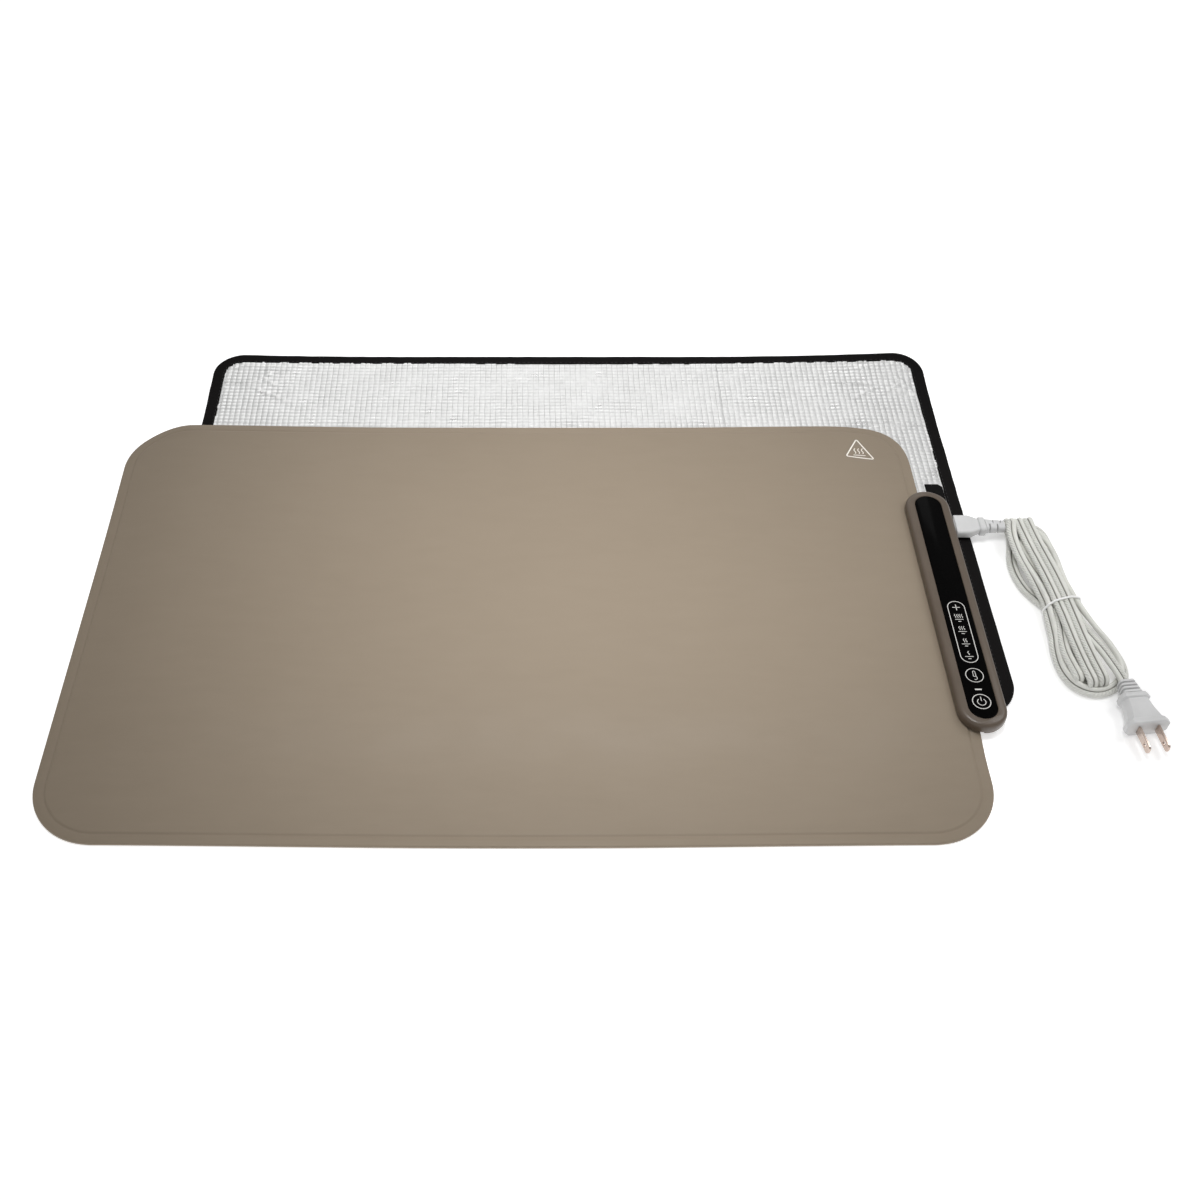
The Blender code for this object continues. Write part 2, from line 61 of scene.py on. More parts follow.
# ---- sizes that only the looks have, in millimetres ----
MAT_CELL = 12.6  # grid on which the mat's big faces are cut, so that they can drape
FIELD_NOTCH = 5.0  # how far the raised field steps back beside the controller
CORNER_PUSH, FRONT_BOW = 3.2, 2.4  # how far the mat's rear-right corner and front edge swell out
PAD_CELL = 15.5  # the same grid for the pad's inner layers
FOIL_INSET = 9.0  # where the foil starts, in from the pad's edge
FOIL_CELL_X, FOIL_CELL_Y, FOIL_RELIEF = 4.3, 4.0, 0.4  # one embossed cell and its height
TIE_R = 0.75  # radius of the tie's thread
LOBE = 1.85  # radius of each of the cord's two cores
CORE_TURN = 316.0  # how much of each core's round skin shows, in degrees
HALF_SKIN = LOBE * math.radians(CORE_TURN) * MM  # length round one core, in metres
CORD_RIB = 1.2  # pitch of the slanting ribs

# ---- constants of the materials ----
WAVE_PERIOD = 0.314  # period of a wave texture whose scale is 1
GLOSS_SPREAD = 0.06  # how far a moulded surface's roughness strays either way


# ---- materials ----

def srgb(r, g, b):
    """Linear colour of an 8-bit display colour."""
    linear = [((c / 255 + 0.055) / 1.055) ** 2.4 if c > 10 else c / 255 / 12.92 for c in (r, g, b)]
    return (*linear, 1.0)


class Paint:
    """A Principled material and short calls that add nodes to it."""

    def __init__(self, name, roughness=0.5, metallic=0.0, **uniform):
        self.material = bpy.data.materials.new(name)
        self.material.use_nodes = True
        self.tree = self.material.node_tree
        self.shader = self.tree.nodes["Principled BSDF"]
        self.shader.inputs["Roughness"].default_value = roughness
        self.shader.inputs["Metallic"].default_value = metallic
        for key, value in uniform.items():
            self.shader.inputs[key.replace("_", " ")].default_value = value

    def put(self, socket, value):
        """Link another node's socket, or set a plain value."""
        if isinstance(value, bpy.types.NodeSocket):
            self.tree.links.new(value, socket)
        else:
            socket.default_value = value

    def node(self, kind, settings=None, **inputs):
        made = self.tree.nodes.new("ShaderNode" + kind)
        for key, value in (settings or {}).items():
            setattr(made, key, value)
        for key, value in inputs.items():
            self.put(made.inputs[key.replace("_", " ")], value)
        return made

    def place(self, uv=False):
        return self.node("TexCoord").outputs["UV" if uv else "Object"]

    def stretch(self, vector, scale):
        return self.node("Mapping", Vector=vector, Scale=scale).outputs[0]

    def noise(self, vector, scale, detail=4.0, roughness=0.55):
        made = self.node("TexNoise", Vector=vector, Scale=scale, Detail=detail, Roughness=roughness)
        return made.outputs[0]

    def wave(self, vector, scale, direction='X', distortion=0.0):
        return self.node("TexWave", {"bands_direction": direction, "wave_profile": 'SIN'},
                         Vector=vector, Scale=scale, Distortion=distortion).outputs[1]

    def math(self, operation, a, b=0.0):
        made = self.node("Math", {"operation": operation})
        self.put(made.inputs[0], a)
        self.put(made.inputs[1], b)
        return made.outputs[0]

    def span(self, value, low, high, to_low, to_high):
        made = self.node("MapRange", Value=value)
        for key, number in (("From Min", low), ("From Max", high), ("To Min", to_low), ("To Max", to_high)):
            made.inputs[key].default_value = number
        return made.outputs[0]

    def mix(self, factor, dark, light):
        made = self.node("Mix", {"data_type": 'RGBA'})
        self.put(made.inputs[0], factor)
        self.put(made.inputs[6], dark)
        self.put(made.inputs[7], light)
        return made.outputs[2]

    def colour(self, value):
        self.put(self.shader.inputs["Base Color"], value)

    def off_middle(self, value):
        """How far a repeating 0 to 1 value is from its middle, from 0 to 0.5."""
        return self.math('ABSOLUTE', self.math('SUBTRACT', value, 0.5))

    def rough(self, value):
        self.put(self.shader.inputs["Roughness"], value)

    def bump(self, height, distance, strength=1.0, normal=None):
        made = self.node("Bump", Strength=strength, Distance=distance, Height=height)
        if normal is not None:
            self.put(made.inputs["Normal"], normal)
        self.put(self.shader.inputs["Normal"], made.outputs[0])
        return made.outputs[0]


def moulded(name, dark, light, roughness, grain=0.00003, metallic=0.0, **uniform):
    """Moulded or machined surface: mottled colour, uneven gloss and a fine grain."""
    paint = Paint(name, roughness, metallic, **uniform)
    place = paint.place()
    broad = paint.noise(place, 45.0, 5.0)
    fine = paint.noise(place, 2600.0, 3.0)
    paint.colour(paint.mix(paint.span(broad, 0.3, 0.7, 0.0, 1.0), dark, light))
    uneven = paint.noise(place, 210.0, 6.0)
    paint.rough(paint.span(uneven, 0.3, 0.7, roughness - GLOSS_SPREAD, roughness + GLOSS_SPREAD))
    paint.bump(fine, grain, 0.6)
    return paint.material


def silicone():
    """Matt taupe silicone with a fine moulded grain, faint handling marks and a soft sheen."""
    paint = Paint("mat_silicone", 0.55, Specular_IOR_Level=0.34, Sheen_Weight=0.06, Sheen_Roughness=0.5)
    place = paint.place()
    broad = paint.noise(place, 3.2, 6.0, 0.6)
    marks = paint.noise(paint.stretch(place, (1.0, 3.4, 1.0)), 34.0, 7.0, 0.62)
    both = paint.math('ADD', paint.math('MULTIPLY', broad, 0.6), paint.math('MULTIPLY', marks, 0.4))
    paint.colour(paint.mix(paint.span(both, 0.35, 0.65, 0.0, 1.0), srgb(133, 120, 103), srgb(137, 124, 107)))
    paint.rough(paint.span(paint.noise(place, 22.0, 8.0, 0.6), 0.3, 0.7, 0.5, 0.62))
    first = paint.bump(paint.noise(place, 9.0, 3.0), 0.0016, 0.25)
    paint.bump(paint.noise(place, 1900.0, 3.0), 0.00004, 0.7, first)
    return paint.material


def foil():
    """Embossed aluminium foil: bright and crinkled, dull specks, and painted shade along the lines between
    cells.

    Its UVs count embossed cells, so the embossed lines between cells run along the whole numbers.
    """
    paint = Paint("pad_foil", 0.3, 1.0)
    place = paint.place()
    crinkle = paint.noise(place, 130.0, 8.0, 0.65)
    specks = paint.node("TexVoronoi", Vector=place, Scale=420.0).outputs[0]
    dots = paint.math('LESS_THAN', specks, 0.075)
    worn = paint.math('MULTIPLY', dots, paint.span(paint.noise(place, 16.0, 4.0), 0.52, 0.62, 0.0, 0.8))
    bright = paint.mix(paint.span(crinkle, 0.3, 0.7, 0.0, 1.0), srgb(243, 243, 242), srgb(253, 253, 252))
    cell = paint.node("SeparateXYZ", Vector=paint.place(uv=True))
    lines = []
    for axis, start, depth in ((0, 0.425, 0.95), (1, 0.43, 0.7)):
        off_middle = paint.off_middle(paint.math('FRACT', cell.outputs[axis]))
        lines.append(paint.span(off_middle, start, 0.5, 0.0, depth))
    patchy = paint.span(paint.noise(place, 38.0, 5.0), 0.35, 0.65, 0.3, 1.0)
    # Painted shade: the lines between embossed cells are greyed where shade falls in the creases, more
    # strongly in patches.
    crease_shade = paint.math('MULTIPLY', paint.math('MAXIMUM', lines[0], lines[1]), patchy)
    base_tone = paint.mix(crease_shade, bright, srgb(150, 150, 148))
    paint.colour(paint.mix(worn, base_tone, srgb(120, 118, 114)))
    paint.rough(paint.span(paint.noise(place, 70.0, 6.0), 0.3, 0.7, 0.26, 0.42))
    first = paint.bump(paint.noise(place, 60.0, 5.0, 0.6), 0.0009, 0.5)
    paint.bump(crinkle, 0.00022, 0.6, first)
    return paint.material


def woven(name, dark, light, pitch):
    """Plain weave: two crossing sets of threads, with fuzz and lint, painted shade between the threads and
    painted highlight on their tops.
    """
    paint = Paint(name, 0.85, Specular_IOR_Level=0.08)
    place = paint.place()
    scale = WAVE_PERIOD / (pitch * MM)
    warp = paint.wave(place, scale, 'X', 0.4)
    weft = paint.wave(place, scale, 'Y', 0.4)
    thread = paint.math('MAXIMUM', paint.math('MULTIPLY', warp, 0.95), weft)
    fuzz = paint.noise(place, 700.0, 6.0, 0.7)
    height = paint.math('ADD', paint.math('MULTIPLY', thread, 0.75), paint.math('MULTIPLY', fuzz, 0.25))
    # The colour follows the thread height: painted shade between the threads and painted highlight on their
    # tops, plus random fuzz tone.
    paint.colour(paint.mix(paint.span(height, 0.35, 0.95, 0.0, 1.0), dark, light))
    paint.rough(paint.span(fuzz, 0.3, 0.7, 0.75, 0.95))
    paint.bump(height, 0.00022, 0.8)
    return paint.material


def cord_vinyl():
    """Warm grey twin cord: slanting ribs on one core, the other smooth, with painted shade in the groove
    where they join.

    Its UVs are metres along the cord and round its skin.
    """
    paint = Paint("cord_vinyl", 0.42, Specular_IOR_Level=0.45)
    uv = paint.place(uv=True)
    place = paint.place()
    ribs = paint.wave(uv, WAVE_PERIOD / (CORD_RIB * MM), 'DIAGONAL')
    side = paint.node("SeparateXYZ", Vector=uv).outputs[1]
    one_core = paint.math('LESS_THAN', side, HALF_SKIN)
    round_core = paint.math('MULTIPLY', paint.math('MODULO', side, HALF_SKIN), 1.0 / HALF_SKIN)
    # Painted shade: the colour goes dark in the groove between the two cores.
    groove = paint.span(paint.off_middle(round_core), 0.41, 0.49, 0.0, 1.0)
    base_tone = paint.mix(paint.span(paint.noise(place, 60.0, 6.0), 0.3, 0.7, 0.0, 1.0),
                      srgb(219, 219, 213), srgb(230, 230, 224))
    paint.colour(paint.mix(groove, base_tone, srgb(120, 119, 112)))
    paint.rough(paint.span(paint.noise(place, 240.0, 4.0), 0.3, 0.7, 0.36, 0.5))
    grain = paint.bump(paint.noise(place, 1500.0, 3.0), 0.00003, 0.5)
    paint.bump(paint.math('MULTIPLY', ribs, one_core), 0.0004, 1.0, grain)
    return paint.material


def gloss_panel():
    """Gloss black touch panel with faint dust and wiping marks."""
    paint = Paint("touch_panel_gloss", 0.07, Specular_IOR_Level=0.03)
    place = paint.place()
    dust = paint.noise(place, 900.0, 8.0, 0.7)
    wipes = paint.noise(paint.stretch(place, (5.0, 1.0, 1.0)), 60.0, 6.0)
    paint.colour(paint.mix(paint.span(dust, 0.45, 0.8, 0.0, 1.0), srgb(3, 3, 3), srgb(9, 8, 8)))
    paint.rough(paint.span(wipes, 0.3, 0.7, 0.05, 0.13))
    return paint.material


SILICONE = silicone()
FOIL = foil()
BINDING = woven("binding_tape", srgb(7, 6, 6), srgb(27, 25, 25), 0.9)
BACKING = woven("pad_backing", srgb(7, 7, 7), srgb(24, 23, 23), 1.1)
CORD = cord_vinyl()
PANEL = gloss_panel()
HOUSING = moulded("housing_satin", srgb(84, 72, 60), srgb(89, 77, 65), 0.36, 0.00002,
                  Coat_Weight=0.1, Coat_Roughness=0.2)
PRINT = moulded("printed_ink", srgb(206, 204, 200), srgb(218, 216, 212), 0.5)
MAT_PRINT = moulded("mat_ink", srgb(232, 227, 218), srgb(240, 236, 228), 0.6)
WHITE = moulded("connector_white", srgb(203, 203, 203), srgb(212, 212, 212), 0.4, 0.00003)
PLUG = moulded("plug_vinyl", srgb(207, 207, 207), srgb(217, 217, 217), 0.42, 0.00004)
NICKEL = moulded("nickel_plate", srgb(196, 176, 164), srgb(214, 198, 187), 0.24, 0.00001, metallic=1.0)
BRASS = moulded("contact_brass", srgb(200, 170, 110), srgb(216, 188, 130), 0.3, 0.00001, metallic=1.0)
STEEL = moulded("zinc_plate", srgb(176, 176, 178), srgb(196, 196, 198), 0.34, 0.00001, metallic=1.0)
TIE = moulded("tie_thread", srgb(250, 250, 249), srgb(254, 254, 253), 0.45, 0.00005)
FOAM = moulded("foam_core", srgb(214, 214, 210), srgb(232, 232, 228), 0.9, 0.0003)
CARBON = moulded("carbon_film", srgb(36, 36, 38), srgb(52, 52, 55), 0.5, 0.00002)
EPOXY = moulded("black_epoxy", srgb(22, 22, 23), srgb(34, 34, 35), 0.5, 0.00004)
BOARD = moulded("board_laminate", srgb(22, 84, 46), srgb(30, 104, 58), 0.42, 0.00002)
NYLON = moulded("white_nylon", srgb(220, 220, 214), srgb(233, 233, 228), 0.5, 0.00003)
WIRE = moulded("lead_silicone", srgb(160, 30, 24), srgb(184, 40, 32), 0.45, 0.00003)
LAMP = moulded("led_diffuser", srgb(222, 224, 226), srgb(238, 239, 240), 0.3, 0.00001)


# ---- mesh helpers ----

def piece(name, verts, faces, mat, body, stands_for=(), sharp=35.0, smooth=True):
    """Make one object from points in millimetres and let it ride on its body."""
    mesh = bpy.data.meshes.new(name)
    mesh.from_pydata([(x * MM, y * MM, z * MM) for x, y, z in verts], [], faces)
    return dress(name, mesh, mat, body, stands_for, sharp, smooth)


def dress(name, mesh, mat, body, stands_for=(), sharp=35.0, smooth=True):
    """Give a finished mesh, in metres, its material, shading, body and replaced nodes."""
    mesh.materials.clear()
    mesh.materials.append(mat)
    if smooth:
        mesh.polygons.foreach_set("use_smooth", [True] * len(mesh.polygons))
        mesh.set_sharp_from_angle(angle=math.radians(sharp))
    obj = bpy.data.objects.new(name, mesh)
    bpy.context.scene.collection.objects.link(obj)
    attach(obj, body)
    if stands_for:
        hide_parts(*stands_for)
    return obj


def mesh_of(bm):
    bmesh.ops.recalc_face_normals(bm, faces=bm.faces)
    mesh = bpy.data.meshes.new("made")
    bm.to_mesh(mesh)
    bm.free()
    return mesh


def tube_mesh(rings, closed=False):
    """Quads between equal-length rings, with flat ends unless the tube closes on itself."""
    count = len(rings[0])
    verts = [tuple(p) for ring in rings for p in ring]
    faces = []
    last = len(rings) if closed else len(rings) - 1
    for k in range(last):
        a, b = k * count, (k + 1) % len(rings) * count
        for i in range(count):
            j = (i + 1) % count
            faces.append((a + i, a + j, b + j, b + i))
    if not closed:
        faces.append(tuple(range(count))[::-1])
        faces.append(tuple(range(len(verts) - count, len(verts))))
    return verts, faces


def corner(cx, cy, radius, start, steps):
    return [(cx + radius * math.cos(math.radians(start + 90 * i / steps)),
             cy + radius * math.sin(math.radians(start + 90 * i / steps))) for i in range(steps + 1)]


def round_rect(cx, cy, width, depth, radius, inset=0.0, steps=20):
    r = radius - inset
    dx, dy = width / 2 - radius, depth / 2 - radius
    return (corner(cx + dx, cy + dy, r, 0, steps) + corner(cx - dx, cy + dy, r, 90, steps)
            + corner(cx - dx, cy - dy, r, 180, steps) + corner(cx + dx, cy - dy, r, 270, steps))


def divided(outline, step):
    """The same closed outline with its long sides divided into steps."""
    result = []
    for (x0, y0), (x1, y1) in zip(outline, outline[1:] + outline[:1]):
        parts = max(1, round(math.hypot(x1 - x0, y1 - y0) / step))
        result += [(x0 + (x1 - x0) * i / parts, y0 + (y1 - y0) * i / parts) for i in range(parts)]
    return result


def slice_up(bm, normal, start, step, count, least_area=0.0):
    """Cut the faces larger than least_area along evenly spaced planes."""
    for k in range(1, count + 1):
        faces = [f for f in bm.faces if f.calc_area() > least_area]
        edges = list({e for f in faces for e in f.edges})
        verts = list({v for f in faces for v in f.verts})
        bmesh.ops.bisect_plane(bm, geom=verts + edges + faces, dist=0.0001,
                               plane_co=Vector(normal) * (start + step * k), plane_no=normal)


def rise(distance, run):
    """Smooth step from 0 to 1 as the distance goes from 0 to run."""
    t = min(max(distance / run, 0.0), 1.0)
    return t * t * (3 - 2 * t)


# ---- silicone mat ----

def rest_height(x, y):
    """Height of the mat's underside: on the pad, or down on the ground past the pad's edges."""
    front = rise(y - (PAD_FRONT - 1 - DRAPE_RUN), DRAPE_RUN)
    left = rise(x - (PAD_LEFT - 1 - DRAPE_RUN), DRAPE_RUN)
    return GAP + PAD_T * front * left


def mat_lift(x, y):
    """Height of the mat's underside with its drape, the slow waves of a rolled sheet and its curl."""
    slow = max(noise.noise(Vector((x / 170, y / 210, 3.0))), 0.0)
    edge = min(x - (MAT_X - MAT_W / 2), MAT_RIGHT - x, y - (MAT_Y - MAT_D / 2), MAT_Y + MAT_D / 2 - y)
    free = 1 - rise(x - 225, 30)  # flat beside the controller
    rear = rise(y - MAT_Y, MAT_D / 2) ** 2
    left_curl = 3.0 * rear * rise(-60 - x, 230) ** 1.5
    right_curl = 1.4 * rear * rise(x - 90, 150) * free
    return rest_height(x, y) + 0.35 * free * slow * rise(edge, 60) + left_curl + right_curl


def matched(inset, notch, outline):
    """The outline's points moved inward one by one, and by the notch more beside the controller."""
    shrunk = []
    for x, y in outline:
        cx = min(max(x, MAT_X - MAT_W / 2 + MAT_R), MAT_RIGHT - MAT_R)
        cy = min(max(y, MAT_Y - MAT_D / 2 + MAT_R), MAT_Y + MAT_D / 2 - MAT_R)
        away = Vector((x - cx, y - cy))
        if away.length < 1e-6:
            shrunk.append((x, y))
            continue
        beside = x > MAT_RIGHT - 0.5 and abs(y - HOUSING_Y) < HOUSING_L / 2 - 12
        extra = notch if beside else 0.0
        away *= (away.length - inset - extra) / away.length
        shrunk.append((cx + away.x, cy + away.y))
    return shrunk


def mat_edge_line():
    """Outer edge of the mat, with its full rear-right corner and its front edge bowed forward."""
    outer = divided(round_rect(MAT_X, MAT_Y, MAT_W, MAT_D, MAT_R, steps=24), 7.0)
    cx, cy = MAT_RIGHT - MAT_R, MAT_Y + MAT_D / 2 - MAT_R
    left, front = MAT_X - MAT_W / 2, MAT_Y - MAT_D / 2
    for i, (x, y) in enumerate(outer):
        if x > cx and y > cy:
            push = 1 + CORNER_PUSH / MAT_R * math.sin(2 * math.atan2(y - cy, x - cx)) ** 2
            outer[i] = (cx + (x - cx) * push, cy + (y - cy) * push)
        elif y < front + 0.01:
            outer[i] = (x, y - FRONT_BOW * math.sin(math.pi * (x - left) / MAT_W) ** 2)
    return outer


def build_mat():
    """Both silicone sheets as one skin: rounded edge, flat flange, groove and raised field."""
    outer = mat_edge_line()
    edge = [(1.0, 0.0), (0.3, 0.08), (0.0, 0.45), (0.0, 1.55), (0.12, 2.0), (0.45, 2.3), (1.0, 2.4),
            (3.5, 2.42)]
    field = [(6.3, 2.38), (6.7, 2.16), (7.2, 2.2), (7.7, 2.6), (8.1, 2.8), (8.7, 2.84), (10.5, 2.8)]
    bm = bmesh.new()
    rings = []
    for stations, notch in ((edge, 0.0), (field, FIELD_NOTCH)):
        for inset, z in stations:
            rings.append([bm.verts.new((x, y, z)) for x, y in matched(inset, notch, outer)])
    for low, high in zip(rings, rings[1:]):
        for i in range(len(outer)):
            j = (i + 1) % len(outer)
            bm.faces.new((low[i], low[j], high[j], high[i]))
    bm.faces.new(rings[-1])
    bm.faces.new(rings[0][::-1])
    slice_up(bm, (1, 0, 0), MAT_X - MAT_W / 2, MAT_CELL, int(MAT_W / MAT_CELL), least_area=150)
    slice_up(bm, (0, 1, 0), MAT_Y - MAT_D / 2, MAT_CELL, int(MAT_D / MAT_CELL), least_area=150)
    for vert in bm.verts:
        vert.co.z += mat_lift(vert.co.x, vert.co.y)
    bmesh.ops.scale(bm, vec=(MM, MM, MM), verts=bm.verts)
    skin = dress("mat_skin", mesh_of(bm), SILICONE, "heat_mat",
                 ("mat_top_sheet", "mat_bottom_sheet"), sharp=80.0)


# ---- printed marks ----

def ribbon(line, width, z, closed=False):
    """Flat strip of the given width along a line of (x, y) points."""
    verts, faces = [], []
    count = len(line)
    for i, (x, y) in enumerate(line):
        before = line[i - 1] if closed or i else line[i]
        after = line[(i + 1) % count] if closed or i < count - 1 else line[i]
        tx, ty = after[0] - before[0], after[1] - before[1]
        size = math.hypot(tx, ty) or 1.0
        nx, ny = -ty / size * width / 2, tx / size * width / 2
        verts += [(x + nx, y + ny, z(x, y)), (x - nx, y - ny, z(x, y))]
    for i in range(count if closed else count - 1):
        a, b = 2 * i, 2 * ((i + 1) % count)
        faces.append((a, a + 1, b + 1, b))
    return verts, faces


def marks(name, lines, mat, body, slot, z):
    """All the strips as one thin raised print. Each line is (points, width, closed)."""
    verts, faces = [], []
    for line, width, closed in lines:
        some, quads = ribbon(line, width, z, closed)
        faces += [tuple(i + len(verts) for i in quad) for quad in quads]
        verts += some
    piece(name, verts, faces, mat, body, smooth=False)


def wavy(x, low, high, swing, steps=18):
    return [(x + swing * math.sin(math.tau * 1.15 * i / steps), low + (high - low) * i / steps)
            for i in range(steps + 1)]


def ring_line(x, y, radius, start=0.0, turn=360.0, steps=48):
    return [(x + radius * math.cos(math.radians(start + turn * i / steps)),
             y + radius * math.sin(math.radians(start + turn * i / steps))) for i in range(steps + 1)]


def heat_glyph(x, y, waves, size):
    """A few heat lines over a base line, with a short bar below."""
    half = size / 2
    lines = [(wavy(x + (k - (waves - 1) / 2) * size * 0.27, y + 0.6, y + size * 0.7, size * 0.07), 0.4, False)
             for k in range(waves)]
    lines.append(([(x - half, y - 0.75), (x + half, y - 0.75)], 0.42, False))
    lines.append(([(x - half * 0.35, y - 2.6), (x + half * 0.35, y - 2.6)], 0.5, False))
    return lines


def plus_glyph(x, y):
    half = 2.6
    return [([(x - half, y), (x + half, y)], 0.5, False), ([(x, y - half), (x, y + half)], 0.5, False)]


def thermometer_glyph(x, y):
    """A thermometer with its bulb below, in a round key."""
    lines = [(ring_line(x, y, 5.7), 0.5, False),
             (ring_line(x, y - 2.3, 1.35, 120, -240, 20), 0.45, False)]
    lines += [([(x + side, y - 1.1), (x + side, y + 2.7)], 0.4, False) for side in (-0.8, 0.8)]
    return lines + [(ring_line(x, y + 2.7, 0.8, 0, 180, 10), 0.4, False)]


def power_glyph(x, y):
    return [(ring_line(x, y, 5.8), 0.55, False),
            (ring_line(x, y - 0.3, 2.7, 125, 290, 30), 0.5, False),
            ([(x, y + 0.4), (x, y + 3.8)], 0.5, False)]


def build_panel_print():
    """Key symbols on the touch panel: four heat levels and a plus, set, indicator dash and power."""
    x = HOUSING_X
    bar_y, bar_w, bar_l = -74.5, 11.5, 54.0
    top_level_y, level_step = -63.0, 10.9
    dash_y, dash_half = -124.1, 2.2
    lines = [(round_rect(x, bar_y, bar_w, bar_l, bar_w / 2 - 0.01, steps=14), 0.5, True)]
    for k, waves in enumerate((4, 3, 2, 1)):
        lines += heat_glyph(x, top_level_y - level_step * k, waves, 5.6)
    lines += plus_glyph(x, -53.0) + thermometer_glyph(x, -112.3)
    lines += [([(x - dash_half, dash_y), (x + dash_half, dash_y)], 1.1, False)]
    lines += power_glyph(x, -134.0)
    panel_z = PANEL_TOP_Z + 0.03
    marks("panel_print", lines, PRINT, "heat_mat", "black_panel", lambda px, py: panel_z)


def build_mat_symbol():
    """Heat lines in a triangle with rounded corners, printed near the mat's rear-right corner."""
    apex, left, right = Vector((246.5, 125.9)), Vector((235.9, 106.5)), Vector((256.8, 103.6))
    rounding = 1.8
    triangle = []
    for a, b, c in ((left, apex, right), (apex, right, left), (right, left, apex)):
        start = b + (a - b).normalized() * rounding
        end = b + (c - b).normalized() * rounding
        for t in (0.0, 0.25, 0.5, 0.75, 1.0):
            p = start * (1 - t) ** 2 + b * 2 * t * (1 - t) + end * t * t
            triangle.append((p.x, p.y))
    lines = [(divided(triangle, 3.0), 1.05, True)]
    x, y = 246.3, 109.6
    for k in (-1, 0, 1):
        lines.append((wavy(x + 2.9 * k, y, y + 6.0, 0.5), 0.7, False))
    lines.append(([(x - 4.6, y - 1.6), (x + 4.6, y - 2.0)], 0.75, False))
    marks("mat_symbol", lines, MAT_PRINT, "heat_mat", "taupe_silicone",
          lambda px, py: mat_lift(px, py) + 2.96)


# ---- insulating pad ----

def pad_ring(inset, steps=16):
    return divided(round_rect(PAD_X, PAD_Y, PAD_W, PAD_D, PAD_R, inset, steps), 6.0)


def pad_inside(x, y):
    """Distance inward from the pad's edge."""
    dx = abs(x - PAD_X) - (PAD_W / 2 - PAD_R)
    dy = abs(y - PAD_Y) - (PAD_D / 2 - PAD_R)
    outside = np.hypot(np.maximum(dx, 0), np.maximum(dy, 0)) + np.minimum(np.maximum(dx, dy), 0)
    return PAD_R - outside


def pad_lift(x, y):
    """The pad's rear corners stand a little off the ground."""
    flat_to, left_run, right_run = 82, 150, 190
    rear = np.clip((y - (PAD_Y + flat_to)) / (PAD_D / 2 - flat_to), 0, 1) ** 2
    left = np.clip((PAD_LEFT + left_run - x) / left_run, 0, 1) ** 2
    right = np.clip((x - (PAD_X + PAD_W / 2 - right_run)) / right_run, 0, 1) ** 2
    return rear * (2.6 * left + 5.2 * right)


def slab(name, inset, low, high, mat, node):
    """Flat inner layer of the pad, cut into a grid so that it follows the lifted corners."""
    bm = bmesh.new()
    outline = pad_ring(inset)
    rings = [[bm.verts.new((x, y, z)) for x, y in outline] for z in (low, high)]
    for i in range(len(outline)):
        j = (i + 1) % len(outline)
        bm.faces.new((rings[0][i], rings[0][j], rings[1][j], rings[1][i]))
    bm.faces.new(rings[1])
    bm.faces.new(rings[0][::-1])
    slice_up(bm, (1, 0, 0), PAD_LEFT, PAD_CELL, int(PAD_W / PAD_CELL))
    slice_up(bm, (0, 1, 0), PAD_FRONT, PAD_CELL, int(PAD_D / PAD_CELL))
    for vert in bm.verts:
        vert.co.z += float(pad_lift(vert.co.x, vert.co.y))
    bmesh.ops.scale(bm, vec=(MM, MM, MM), verts=bm.verts)
    dress(name, mesh_of(bm), mat, "insulation_pad", (node,), sharp=60.0)


def foil_creases(gx, gy, generator):
    """Short sharp wrinkles round the pad's two rear corners."""
    creases = np.zeros_like(gx)
    for corner_x, reach in ((PAD_LEFT + 30, 55), (PAD_X + PAD_W / 2 - 30, 60)):
        for _ in range(9):
            angle = generator.uniform(0, math.pi)
            cx = corner_x + generator.uniform(-reach, reach) * 0.6
            cy = PAD_Y + PAD_D / 2 - 30 + generator.uniform(-20, 18)
            down = (gx - cx) * math.cos(angle) + (gy - cy) * math.sin(angle)
            side = -(gx - cx) * math.sin(angle) + (gy - cy) * math.cos(angle)
            creases += 0.6 * np.exp(-(side / 1.1) ** 2 - (down / generator.uniform(8, 20)) ** 2)
    return creases


